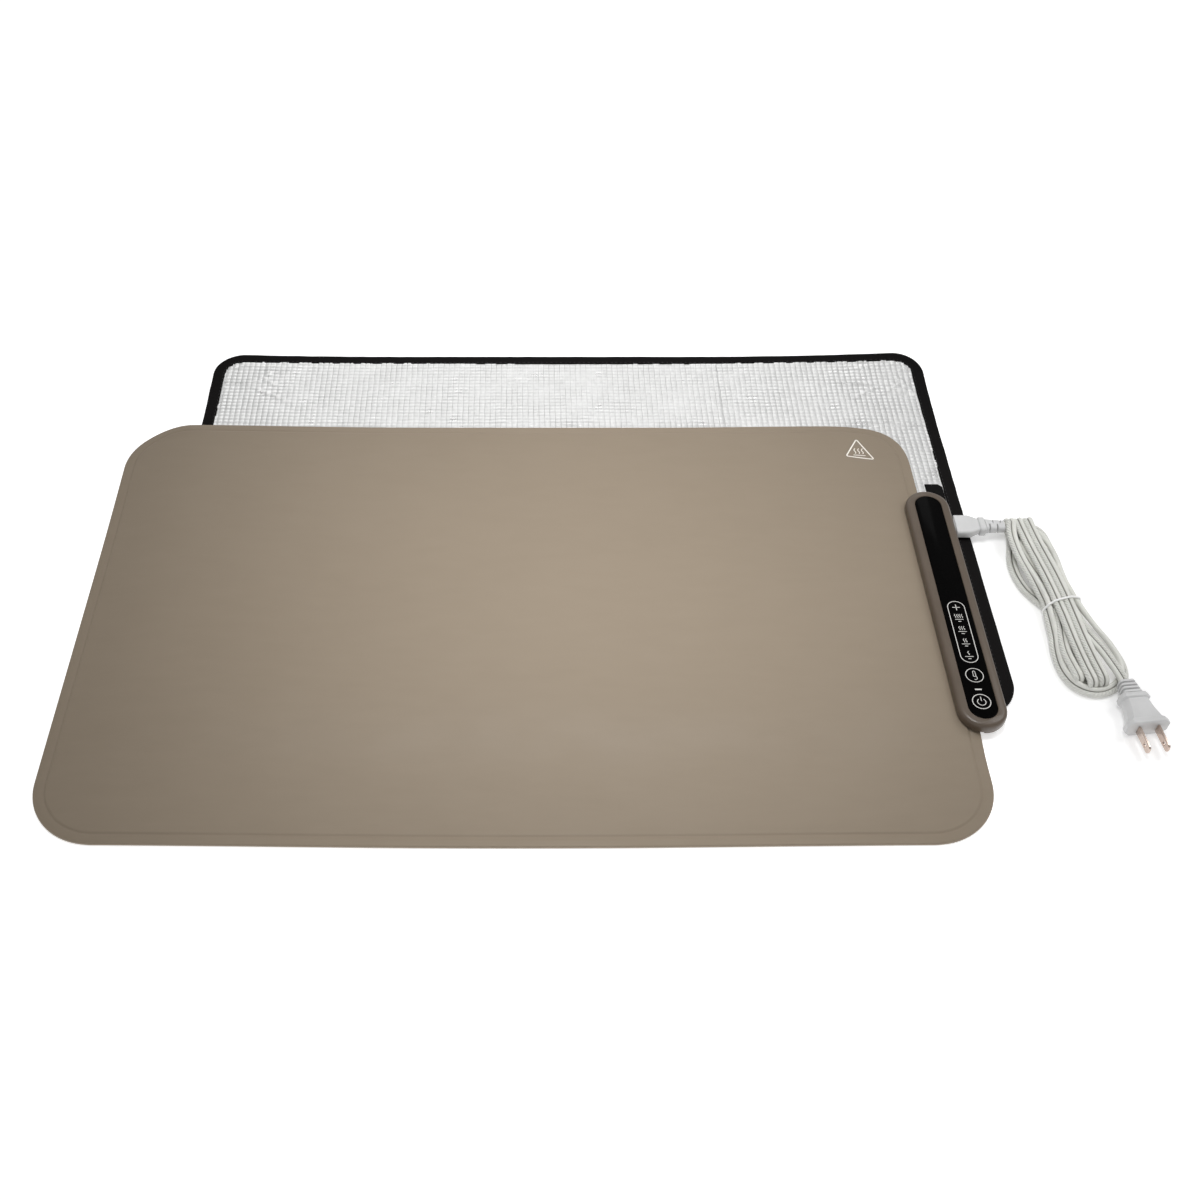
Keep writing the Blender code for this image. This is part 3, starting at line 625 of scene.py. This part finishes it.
def build_foil():
    """Foil face with its embossed cells as real relief, creased at the corners and one fold."""
    phases_x, phases_y = (0.0, 0.14, 0.5, 0.86), (0.0, 0.17, 0.83)
    high_x, high_y = (0.0, 0.9, 1.0, 0.9), (0.3, 1.0, 1.0)
    width, depth = PAD_W - 2 * FOIL_INSET, PAD_D - 2 * FOIL_INSET
    cells_x, cells_y = int(width / FOIL_CELL_X) + 2, int(depth / FOIL_CELL_Y) + 2
    cell_u, cell_v = np.meshgrid([i + p for i in range(cells_x) for p in phases_x],
                                 [j + p for j in range(cells_y) for p in phases_y], indexing='ij')
    gx = cell_u * FOIL_CELL_X + PAD_LEFT + FOIL_INSET - 1.5
    gy = cell_v * FOIL_CELL_Y + PAD_FRONT + FOIL_INSET - 1.5
    gx = gx + 0.5 * np.sin(gy / 47.0) + 0.12 * np.sin(gy / 3.1 + gx)
    gy = gy + 0.4 * np.sin(gx / 61.0 + 1.0) + 0.15 * np.sin(gx / 2.7)

    generator = np.random.default_rng(11)
    dents = np.kron(generator.uniform(0.75, 1.0, (cells_x, cells_y)), np.ones((4, 3)))
    ridge = np.tile(high_x, cells_x)
    relief = FOIL_RELIEF * np.outer(ridge, np.tile(high_y, cells_y)) * dents
    behind_mat = np.clip((gy - (MAT_Y + MAT_D / 2) - 1) / 8, 0, 1)
    beside_mat = np.clip((gx - MAT_RIGHT - 20) / 8, 0, 1)
    fold_line = 0.45 * np.exp(-((gx - 145 - 0.02 * (gy - 190)) / 1.3) ** 2)
    broad = 0.25 * (np.sin(gx / 38.0 + gy / 23.0) + np.sin(gx / 21.0 - gy / 31.0)) + 0.25
    loose = foil_creases(gx, gy, generator) + fold_line + np.maximum(broad, 0) * 0.8
    z = PAD_T - 0.2 + relief + np.clip(behind_mat + beside_mat, 0, 1) * loose

    # Near the tape the foil is held down. Its ridges make the tape's edge look ragged.
    inside = pad_inside(gx, gy)
    z = np.where(inside < 10.6, np.minimum(z, PAD_T - 0.1 + 0.42 * ridge[:, None]), z)
    z = np.where(inside < 9.5, PAD_T - 0.3, z) + pad_lift(gx, gy)

    keep = inside > FOIL_INSET
    index = -np.ones(gx.shape, int)
    index[keep] = np.arange(keep.sum())
    verts = np.stack([gx[keep], gy[keep], z[keep]], 1)
    a, b, c, d = index[:-1, :-1], index[1:, :-1], index[1:, 1:], index[:-1, 1:]
    whole = (a >= 0) & (b >= 0) & (c >= 0) & (d >= 0)
    faces = np.stack([a[whole], b[whole], c[whole], d[whole]], 1)
    sheet = piece("foil_face", verts.tolist(), faces.tolist(), FOIL, "insulation_pad",
                  ("pad_foil_face",), sharp=60.0)
    cell_uv = np.stack([cell_u[keep], cell_v[keep]], 1).astype(np.float32)
    loops = np.zeros(len(sheet.data.loops), np.int32)
    sheet.data.loops.foreach_get("vertex_index", loops)
    sheet.data.uv_layers.new(name="UVMap").data.foreach_set("uv", cell_uv[loops].ravel())


def build_binding():
    """Woven tape folded round the pad's edge, a little uneven in width and thickness."""
    profile = [(BINDING_W, 0.0), (5.0, 0.0), (1.4, 0.0), (0.5, 0.3), (0.08, 1.0), (0.0, 2.0), (0.08, 3.0),
               (0.5, 3.7), (1.4, 4.05), (3.2, 4.12), (5.5, 4.1), (8.0, 4.1), (9.6, 4.08), (10.1, 3.95),
               (10.0, 3.6), (4.0, 3.6), (0.8, 3.4), (0.7, 0.6), (4.0, 0.35), (BINDING_W, 0.35)]
    rings = []
    for x, y in pad_ring(0.0):
        cx = min(max(x, PAD_LEFT + PAD_R), PAD_X + PAD_W / 2 - PAD_R)
        cy = min(max(y, PAD_FRONT + PAD_R), PAD_Y + PAD_D / 2 - PAD_R)
        away = Vector((x - cx, y - cy)).normalized()
        swell = noise.noise(Vector((x / 9.0, y / 9.0, 0.5)))
        edge = noise.noise(Vector((x / 4.0, y / 4.0, 9.5)))
        ring = []
        for inset, z in profile:
            more = 0.35 * edge if inset > 9 else 0.25 * swell if inset < 2 else 0.0
            lift = float(pad_lift(x - away.x * inset, y - away.y * inset))
            if z > 3.9:
                lift += 0.08 * swell
            ring.append((x - away.x * (inset + more), y - away.y * (inset + more), z + lift))
        rings.append(ring)
    verts, faces = tube_mesh(rings, closed=True)
    piece("binding_tape", verts, faces, BINDING, "insulation_pad",
          ("pad_edge_binding",), sharp=50.0)


def build_stitches():
    """Seam along the inner edge of the binding: short raised stitches with gaps between them."""
    seam_inset, stitch, half_width, top = 8.6, 1.9, 0.16, 4.06
    line = divided(round_rect(PAD_X, PAD_Y, PAD_W, PAD_D, PAD_R, seam_inset, 16), stitch)
    verts, faces = [], []
    for k in range(0, len(line) - 2, 2):
        (x0, y0), (x1, y1) = line[k], line[k + 1]
        along = Vector((x1 - x0, y1 - y0)).normalized()
        side = Vector((-along.y, along.x)) * half_width
        base = len(verts)
        low = float(pad_lift(x0, y0)) + top
        for (x, y), z in (((x0, y0), low), (((x0 + x1) / 2, (y0 + y1) / 2), low + 0.14), ((x1, y1), low)):
            verts += [(x + side.x, y + side.y, z), (x, y, z + 0.06), (x - side.x, y - side.y, z)]
        for r in (0, 3):
            faces += [(base + r, base + r + 1, base + r + 4, base + r + 3),
                      (base + r + 1, base + r + 2, base + r + 5, base + r + 4)]
    piece("binding_stitches", verts, faces, EPOXY, "insulation_pad")


# ---- cord ----

def spline(points, step):
    """Smooth curve through points whose first three values are the position, and its length."""
    p = np.array(points, float)
    gaps = np.sqrt(np.linalg.norm(np.diff(p[:, :3], axis=0), axis=1))
    t = np.concatenate([[0], np.cumsum(gaps)])
    slope = np.empty_like(p)
    for i in range(len(p)):
        a, b = max(i - 1, 0), min(i + 1, len(p) - 1)
        if 0 < i < len(p) - 1:
            h0, h1 = t[i] - t[i - 1], t[i + 1] - t[i]
            d0, d1 = (p[i] - p[i - 1]) / h0, (p[i + 1] - p[i]) / h1
            slope[i] = (h1 * d0 + h0 * d1) / (h0 + h1)
        else:
            slope[i] = (p[b] - p[a]) / (t[b] - t[a])
    dense = []
    for i in range(len(p) - 1):
        h = t[i + 1] - t[i]
        for s in np.linspace(0, 1, 40, endpoint=False):
            dense.append((2 * s**3 - 3 * s**2 + 1) * p[i] + (s**3 - 2 * s**2 + s) * h * slope[i]
                         + (-2 * s**3 + 3 * s**2) * p[i + 1] + (s**3 - s**2) * h * slope[i + 1])
    dense.append(p[-1])
    dense = np.array(dense)
    travel = np.concatenate([[0], np.cumsum(np.linalg.norm(np.diff(dense[:, :3], axis=0), axis=1))])
    even = np.linspace(0, travel[-1], max(2, round(travel[-1] / step) + 1))
    return np.stack([np.interp(even, travel, dense[:, k]) for k in range(dense.shape[1])], 1), travel[-1]


def fold(side, v0, z0, v1, z1, centre):
    """Half turn at one end of the hank: side is -1 at the far end and 1 at the near end."""
    radius = abs(z1 - z0) / 2
    turned = []
    for degrees in (0, 36, 72, 108, 144, 180):
        t = math.radians(degrees)
        share = degrees / 180
        height = z0 + (z1 - z0) * (1 - math.cos(t)) / 2
        turned.append((v0 + (v1 - v0) * share, centre + side * radius * math.sin(t), height))
    return turned


def cord_route():
    """The whole cord in hank coordinates: across, along towards the plug end, height, roll.

    The heights count from the ground. The roll turns the flat section, in degrees, and a point
    without one lies level.
    """
    # out of the connector, across under the far end and down the right side to the waist
    route = [(-12.2, -74.85, 9.1), (-10.71, -74.59, 9.1), (-8.7, -74.24, 8.7), (-5.5, -73.7, 7.3),
             (-1.5, -73.2, 6.4), (3.0, -73.0, 6.1), (8.0, -72.6, 6.0), (12.3, -70.6, 5.7, -10),
             (15.3, -66.6, 5.0, -28), (16.5, -60.0, 4.2, -45), (16.9, -52.0, 3.8, -55),
             (16.3, -43.0, 3.7, -55), (14.5, -32.5, 3.9, -55), (12.6, -20.4, 4.8, -58),
             (11.4, -9.1, 6.0, -62), (10.9, 0.0, 6.5, -68)]
    # round the near end in the wide outer loop and back to the waist on the left
    route += [(12.0, 8.0, 6.0, -62), (13.4, 15.0, 5.2, -55), (15.5, 25.0, 4.3, -50), (17.9, 36.0, 3.9, -48),
              (19.0, 48.0, 3.7, -48), (18.9, 55.0, 3.6, -46), (17.8, 61.0, 3.2, -40),
              (15.2, 66.6, 2.6, -25), (11.2, 70.2, 2.2, -8), (6.5, 73.0, 2.1), (1.0, 75.2, 2.2, -5),
              (-5.0, 76.2, 2.5, -12), (-11.0, 75.2, 3.0, -25), (-16.5, 72.0, 3.5, -40),
              (-20.6, 66.6, 3.8, -50), (-22.6, 59.0, 3.9, -52), (-22.6, 50.0, 3.9, -50),
              (-20.2, 38.0, 4.1, -38), (-17.1, 28.0, 4.6, -32), (-14.6, 17.0, 5.6, -35),
              (-12.9, 8.0, 6.8, -48), (-11.3, 0.0, 7.6, -58)]
    # up to the far end as the leftmost top run
    route += [(-11.2, -8.0, 8.2, -45), (-11.5, -20.0, 8.9, -20), (-12.0, -32.0, 9.2), (-12.0, -42.0, 9.3),
              (-11.4, -53.0, 9.9), (-9.8, -64.0, 10.7), (-7.6, -71.5, 11.4)]
    route += fold(-1, -6.0, 11.5, -5.0, 2.05, -75.5)
    # down along the ground on the left
    route += [(-6.8, -67.0, 2.0), (-9.8, -59.5, 2.0), (-13.2, -52.0, 2.0), (-15.8, -44.5, 2.0),
              (-17.3, -36.0, 2.0), (-17.6, -28.0, 2.0), (-16.4, -18.0, 2.1), (-12.8, -8.0, 2.5),
              (-9.6, 0.0, 3.0), (-9.6, 8.0, 2.8), (-11.2, 20.0, 2.2), (-13.2, 34.0, 2.0),
              (-15.2, 46.0, 2.0), (-16.6, 56.0, 2.0)]
    route += fold(1, -17.0, 2.05, -17.3, 8.2, 63.6)
    # back up between the ground runs and the top runs
    route += [(-17.2, 56.0, 8.2), (-16.8, 48.0, 7.9), (-15.4, 40.0, 7.4), (-12.6, 31.0, 6.9),
              (-9.4, 21.0, 6.8), (-6.4, 10.0, 6.9), (-4.2, 0.0, 7.15), (-4.4, -12.0, 6.9),
              (-5.4, -25.0, 6.7), (-6.5, -38.0, 6.7), (-6.9, -50.0, 6.7), (-5.8, -58.0, 6.2),
              (-3.4, -64.0, 4.8), (0.4, -69.8, 2.5)]
    route += fold(-1, 3.2, 2.05, 0.2, 10.2, -76.0)
    # down as the middle top run
    route += [(-0.5, -69.0, 10.3), (-1.0, -61.0, 10.2), (-1.6, -50.0, 10.1), (-2.0, -38.0, 10.2),
              (-2.6, -24.0, 10.4), (-3.6, -10.0, 10.7), (-4.6, 0.0, 10.9), (-5.3, 8.0, 10.9),
              (-6.0, 16.0, 10.7), (-6.9, 24.0, 10.5), (-8.0, 33.5, 10.3), (-8.9, 42.0, 10.2),
              (-9.8, 53.0, 10.1), (-10.3, 61.0, 10.05)]
    route += fold(1, -10.5, 10.0, -9.5, 2.05, 68.0)
    # back up along the ground
    route += [(-9.4, 58.0, 2.05), (-7.9, 46.0, 2.05), (-5.9, 31.0, 2.1), (-3.8, 15.0, 2.6),
              (-1.9, 0.0, 3.3), (0.2, -14.0, 2.7), (3.6, -30.0, 2.05), (7.0, -45.0, 2.05),
              (9.6, -58.0, 2.05), (10.8, -68.0, 2.05)]
    route += fold(-1, 10.6, 2.05, 7.7, 9.8, -75.6)
    # down as the rightmost top run
    route += [(7.0, -68.5, 9.9, -8), (6.4, -60.0, 10.0, -4), (6.0, -50.0, 10.0), (5.6, -38.0, 10.1),
              (5.1, -25.0, 10.3), (4.2, -12.0, 10.5), (3.1, 0.0, 10.7, -4), (2.4, 8.0, 10.7),
              (1.6, 16.0, 10.5), (0.7, 24.0, 10.4), (-0.4, 34.0, 10.3), (-1.3, 45.0, 10.2),
              (-2.0, 56.0, 10.1)]
    route += fold(1, -2.4, 10.0, -2.0, 2.05, 67.6)
    # back up along the ground, and a low turn at the far end
    route += [(-1.9, 58.0, 2.05), (-0.4, 46.0, 2.05), (1.8, 31.0, 2.1), (3.8, 15.0, 2.6), (5.6, 0.0, 3.2),
              (5.4, -14.0, 3.3), (4.6, -28.0, 4.2), (4.0, -42.0, 4.2, 10), (3.8, -52.0, 3.6, 30),
              (3.6, -60.0, 3.4, 45)]
    route += [(3.8, -64.6, 3.5, 30), (4.8, -68.4, 4.1), (6.8, -70.2, 4.9), (8.9, -68.6, 5.6),
              (9.9, -64.8, 6.1, -20)]
    # down under the top runs, out at the near end and into the plug
    route += [(9.9, -60.0, 6.3, -40), (9.3, -52.0, 6.4, -20), (8.4, -40.0, 6.7, -5), (7.4, -27.0, 6.9),
              (6.1, -13.0, 7.0), (5.1, 0.0, 7.0), (4.9, 9.0, 7.0), (4.9, 18.0, 7.0), (5.4, 29.0, 7.1),
              (7.2, 38.0, 7.3), (8.8, 46.0, 7.5), (9.8, 55.0, 7.6), (10.7, 63.0, 7.4), (11.1, 69.0, 7.25),
              (11.08, 73.0, 7.2), (10.92, 76.0, 7.2)]
    return [(*point, 0.0)[:4] for point in route]


def hank_to_row(v, u):
    """Place in the row frame of a point across (v) and along (u) the hank."""
    c, s = math.cos(HANK_TURN), math.sin(HANK_TURN)
    return HANK_WAIST[0] + v * c + u * s, HANK_WAIST[1] + v * s - u * c


def cord_frames(samples):
    """Wide axis of the flat cord at each sample, level by default and carried round the folds."""
    at = samples[:, :3]
    along = np.gradient(at, axis=0)
    along /= np.linalg.norm(along, axis=1)[:, None]
    wide = np.zeros_like(at)
    last = None
    for i, t in enumerate(along):
        level = np.array([-t[1], t[0], 0.0])
        size = np.linalg.norm(level)
        if size > 0.55:
            level /= size
            up = np.cross(t, level)
            up *= math.copysign(1.0, up[2])
            roll = math.radians(samples[i, 3])
            w = level * math.cos(roll) + up * math.sin(roll)
            if last is not None and np.dot(w, last) < 0:
                w = -w
        else:
            w = last - t * np.dot(last, t)
            w /= np.linalg.norm(w)
        wide[i] = w
        last = w
    for _ in range(14):  # passes that spread each twist over the cord beside it
        middle = wide.copy()
        middle[1:-1] = (wide[:-2] + 2 * wide[1:-1] + wide[2:]) / 4
        middle -= along * np.sum(middle * along, 1)[:, None]
        wide = middle / np.linalg.norm(middle, axis=1)[:, None]
    return at, along, wide


def cord_section():
    """Two round cores joined by a thin web: (across, through, distance round the skin)."""
    points = []
    for centre, start in ((LOBE, -CORE_TURN / 2), (-LOBE, 180 - CORE_TURN / 2)):
        for k in range(13):
            a = math.radians(start + CORE_TURN * k / 12)
            points.append((centre + LOBE * math.cos(a), LOBE * math.sin(a)))
    travel, total = [0.0], 0.0
    for (x0, y0), (x1, y1) in zip(points, points[1:]):
        total += math.hypot(x1 - x0, y1 - y0)
        travel.append(total)
    return [(x, y, s) for (x, y), s in zip(points, travel)]


def build_cord():
    """The cord's skin along its whole route. Returns its centre line and its wide axis."""
    route = []
    for v, u, z, roll in cord_route():
        route.append((*hank_to_row(v, u), z, roll))
    samples, length = spline(route, 1.0)
    at, along, wide = cord_frames(samples)
    through = np.cross(along, wide)
    section = cord_section()
    rings = [[tuple(c + w * a + n * b) for a, b, _ in section] for c, w, n in zip(at, wide, through)]
    verts, faces = tube_mesh(rings)
    cord = piece("cord", verts, faces, CORD, "cord_set",
                 ("cord_lead", "cord_hank", "cord_tail"), sharp=70.0)
    uv = cord.data.uv_layers.new(name="UVMap")
    count = len(section)
    skin = section[-1][2]
    for poly in cord.data.polygons:
        for loop in poly.loop_indices:
            ring, k = divmod(cord.data.loops[loop].vertex_index, count)
            seam = k == 0 and any(v % count == count - 1 for v in poly.vertices)
            round_skin = skin if seam else section[k][2]
            uv.data[loop].uv = (ring * length / (len(rings) - 1) * MM, round_skin * MM)
    return at, wide


def hull_half(points):
    """One side of the convex hull of points sorted along it, without its last point."""
    chain = []
    for p in points:
        while len(chain) > 1 and ((chain[-1][0] - chain[-2][0]) * (p[1] - chain[-2][1])
                                  - (chain[-1][1] - chain[-2][1]) * (p[0] - chain[-2][0])) <= 0:
            chain.pop()
        chain.append(p)
    return chain[:-1]


def build_tie(at, wide):
    """Thin tie drawn round the waist of the hank: the convex hull of the runs that cross there."""
    cos_turn, sin_turn = math.cos(HANK_TURN), math.sin(HANK_TURN)
    waist_half, off_core, lowest = 1.2, LOBE + 0.65, 0.8
    dots = []
    for c, w in zip(at, wide):
        dx, dy = c[0] - HANK_WAIST[0], c[1] - HANK_WAIST[1]
        if abs(dx * sin_turn - dy * cos_turn) > waist_half:
            continue
        for side in (-LOBE, LOBE):
            q = c + w * side
            v = (q[0] - HANK_WAIST[0]) * cos_turn + (q[1] - HANK_WAIST[1]) * sin_turn
            for k in range(24):
                a = math.tau * k / 24
                dots.append((v + off_core * math.cos(a), max(q[2] + off_core * math.sin(a), lowest)))
    dots = sorted(set(dots))
    hull = divided(hull_half(dots) + hull_half(dots[::-1]), 0.8)
    rings = []
    count = len(hull)
    for i, (v, z) in enumerate(hull):
        (v0, z0), (v1, z1) = hull[i - 1], hull[(i + 1) % count]
        out = Vector((z1 - z0, -(v1 - v0))).normalized()
        u = 2.6 - 0.14 * v + 0.5 * math.sin(math.tau * i / count)
        ring = []
        for k in range(10):
            a = math.tau * k / 10
            ru, ro = TIE_R * math.cos(a), TIE_R * math.sin(a)
            x, y = hank_to_row(v + out.x * ro, u + ru)
            ring.append((x, y, z + out.y * ro))
        rings.append(ring)
    verts, faces = tube_mesh(rings, closed=True)
    piece("hank_tie", verts, faces, TIE, "cord_set", ("cord_tie",), sharp=80.0)


# ---- hard parts ----

def softened(name, node, mat, body, width):
    """A finer copy of a moulded part: its own shape with edges sharper than 32 degrees rounded over."""
    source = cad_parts[node]
    bm = bmesh.new()
    bm.from_mesh(source.data)
    bmesh.ops.remove_doubles(bm, verts=bm.verts, dist=1e-6)
    bmesh.ops.dissolve_limit(bm, angle_limit=math.radians(0.8), verts=bm.verts, edges=bm.edges)
    rough = mesh_of(bm)
    scratch = bpy.data.objects.new("scratch", rough)
    bpy.context.scene.collection.objects.link(scratch)
    bevel = scratch.modifiers.new("edges", 'BEVEL')
    bevel.width = width * MM
    bevel.segments = 3
    bevel.limit_method = 'ANGLE'
    bevel.angle_limit = math.radians(32)
    bevel.use_clamp_overlap = True
    bpy.context.view_layer.update()
    baked = bpy.data.meshes.new_from_object(scratch.evaluated_get(bpy.context.evaluated_depsgraph_get()))
    bpy.data.objects.remove(scratch)
    dress(name, baked, mat, body, (node,), sharp=44.0)


def build_plug_sleeve():
    """Ribbed strain relief of the plug: four flat ridges with deep grooves between them."""
    turn = math.radians(PLUG_YAW)
    groove = [(-0.75, 0.0), (-0.55, 0.25), (-0.5, 1.7), (0.5, 1.7), (0.55, 0.25), (0.75, 0.0)]
    stations = [(0.0, 0.5), (0.35, 0.0)]
    stations += [(middle + along, inset) for middle in (2.65, 5.65, 8.65) for along, inset in groove]
    stations.append((11.3, 0.0))
    rings = []
    for along, inset in stations:
        width, height = 10.5 + 0.24 * along - 2 * inset, 9.0 + 0.16 * along - 2 * inset
        ring = []
        for across, up in round_rect(0.0, 0.0, width, height, 2.4 - 0.6 * inset, steps=5):
            x = PLUG_START[0] + along * math.cos(turn) - across * math.sin(turn)
            y = PLUG_START[1] + along * math.sin(turn) + across * math.cos(turn)
            ring.append((x, y, PLUG_START[2] + up))
        rings.append(ring)
    verts, faces = tube_mesh(rings)
    piece("plug_sleeve", verts, faces, PLUG, "cord_set",
          ("plug_strain_relief",), sharp=38.0)


def build_hard_parts():
    softened("housing_cover", "housing_top_cover", HOUSING, "heat_mat", 0.22)
    softened("housing_base", "housing_bottom_cover", HOUSING, "heat_mat", 0.2)
    softened("panel_glass", "touch_panel", PANEL, "heat_mat", 0.12)
    softened("connector_moulding", "connector_body", WHITE, "cord_set", 0.35)
    softened("connector_sleeve", "connector_strain_relief", WHITE, "cord_set", 0.18)
    softened("plug_moulding", "plug_body", PLUG, "cord_set", 0.22)
    build_plug_sleeve()
    softened("blade_1", "plug_blade_1", NICKEL, "cord_set", 0.15)
    softened("blade_2", "plug_blade_2", NICKEL, "cord_set", 0.15)
    softened("label_patch", "pad_label_patch", BACKING, "insulation_pad", 0.08)


def repaint():
    """Better materials on the CAD nodes that stay."""
    paints = {"taupe_silicone": SILICONE, "carbon_film": CARBON, "taupe_plastic": HOUSING,
              "black_panel": PANEL, "black_epoxy": EPOXY, "green_board": BOARD,
              "white_nylon": NYLON, "diffuser": LAMP,
              "red_silicone_wire": WIRE, "nickel_plated_brass": NICKEL, "zinc_steel": STEEL, "brass": BRASS,
              "grey_white_pvc": WHITE, "white_tie": TIE, "aluminium_foil": FOIL, "white_foam": FOAM,
              "black_fabric": BACKING}
    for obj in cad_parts.values():
        for held in obj.material_slots:
            name = held.material.name.split(".")[0]
            if name not in paints:
                raise ValueError(f"no paint for {name} on {obj.name}")
            held.material = paints[name]


# ---- floor, light and camera ----

def area_light(name, place, target, width, depth, power, spread=180.0):
    lamp = bpy.data.lights.new(name, 'AREA')
    lamp.shape = 'RECTANGLE'
    lamp.size, lamp.size_y = width, depth
    lamp.energy = power
    lamp.spread = math.radians(spread)
    obj = bpy.data.objects.new(name, lamp)
    obj.location = place
    obj.rotation_euler = (Vector(target) - Vector(place)).to_track_quat('-Z', 'Y').to_euler()
    bpy.context.scene.collection.objects.link(obj)


def build_floor():
    """White floor that glows a little, less so round the hank, whose folds it would fill with light."""
    paint = Paint("studio_floor", 0.9, Emission_Color=(1.0, 1.0, 1.0, 1.0))
    place = paint.place()
    paint.colour(paint.mix(paint.noise(place, 40.0), srgb(248, 248, 248), srgb(252, 252, 252)))
    hank_x, hank_y = 0.372, -0.042
    round_hank = paint.node("Mapping", Vector=place, Location=(-hank_x, -hank_y, 0.0)).outputs[0]
    far = paint.node("VectorMath", {"operation": 'LENGTH'})
    paint.put(far.inputs[0], paint.stretch(round_hank, (14.0, 8.5, 1.0)))
    paint.put(paint.shader.inputs["Emission Strength"], paint.span(far.outputs[1], 0.75, 1.6, 0.2, 0.55))
    reach = 8.0
    mesh = bpy.data.meshes.new("studio_floor")
    mesh.from_pydata([(-reach, -reach, 0), (reach, -reach, 0), (reach, reach, 0), (-reach, reach, 0)],
                     [], [(0, 1, 2, 3)])
    mesh.materials.append(paint.material)
    floor = bpy.data.objects.new("studio_floor", mesh)
    floor.location.z = -0.0002
    bpy.context.scene.collection.objects.link(floor)


def build_lights():
    """Even white surroundings, a soft pool on the mat, a key for the cord set, a strip for the foil."""
    world = bpy.data.worlds.new("studio")
    world.use_nodes = True
    surroundings = world.node_tree.nodes["Background"]
    surroundings.inputs[0].default_value = (1.0, 1.0, 1.0, 1.0)
    surroundings.inputs[1].default_value = 0.47
    bpy.context.scene.world = world
    area_light("pool", (0.06, 0.0, 1.15), (0.02, 0.0, 0), 0.45, 0.35, 0.92, spread=43)
    area_light("key", (0.85, 0.2, 0.8), (0.40, -0.04, 0), 0.35, 0.35, 0.17, spread=46)
    area_light("rear", (0.0, 1.4, 0.85), (0.0, 0.1, 0), 1.5, 0.5, 2.05)


def build_camera():
    camera = bpy.data.cameras.new("camera")
    camera.sensor_width = 36.0
    camera.lens = 41.46
    camera.shift_x = 0.055
    eye = bpy.data.objects.new("camera", camera)
    eye.location = (-0.0026, -0.67955, 0.721)
    eye.rotation_euler = (math.radians(41.84), 0, 0)
    bpy.context.scene.collection.objects.link(eye)
    bpy.context.scene.camera = eye
    bpy.context.scene.view_settings.view_transform = 'Standard'
    bpy.context.scene.view_settings.look = 'None'


repaint()
build_hard_parts()
build_tie(*build_cord())
build_mat()
build_panel_print()
build_mat_symbol()
slab("pad_core", 1.0, 0.8, 3.2, FOAM, "pad_foam_core")
slab("pad_backing", BINDING_W + GAP, 0.0, 0.5, BACKING, "pad_fabric_back")
build_foil()
build_binding()
build_stitches()
build_floor()
build_lights()
build_camera()
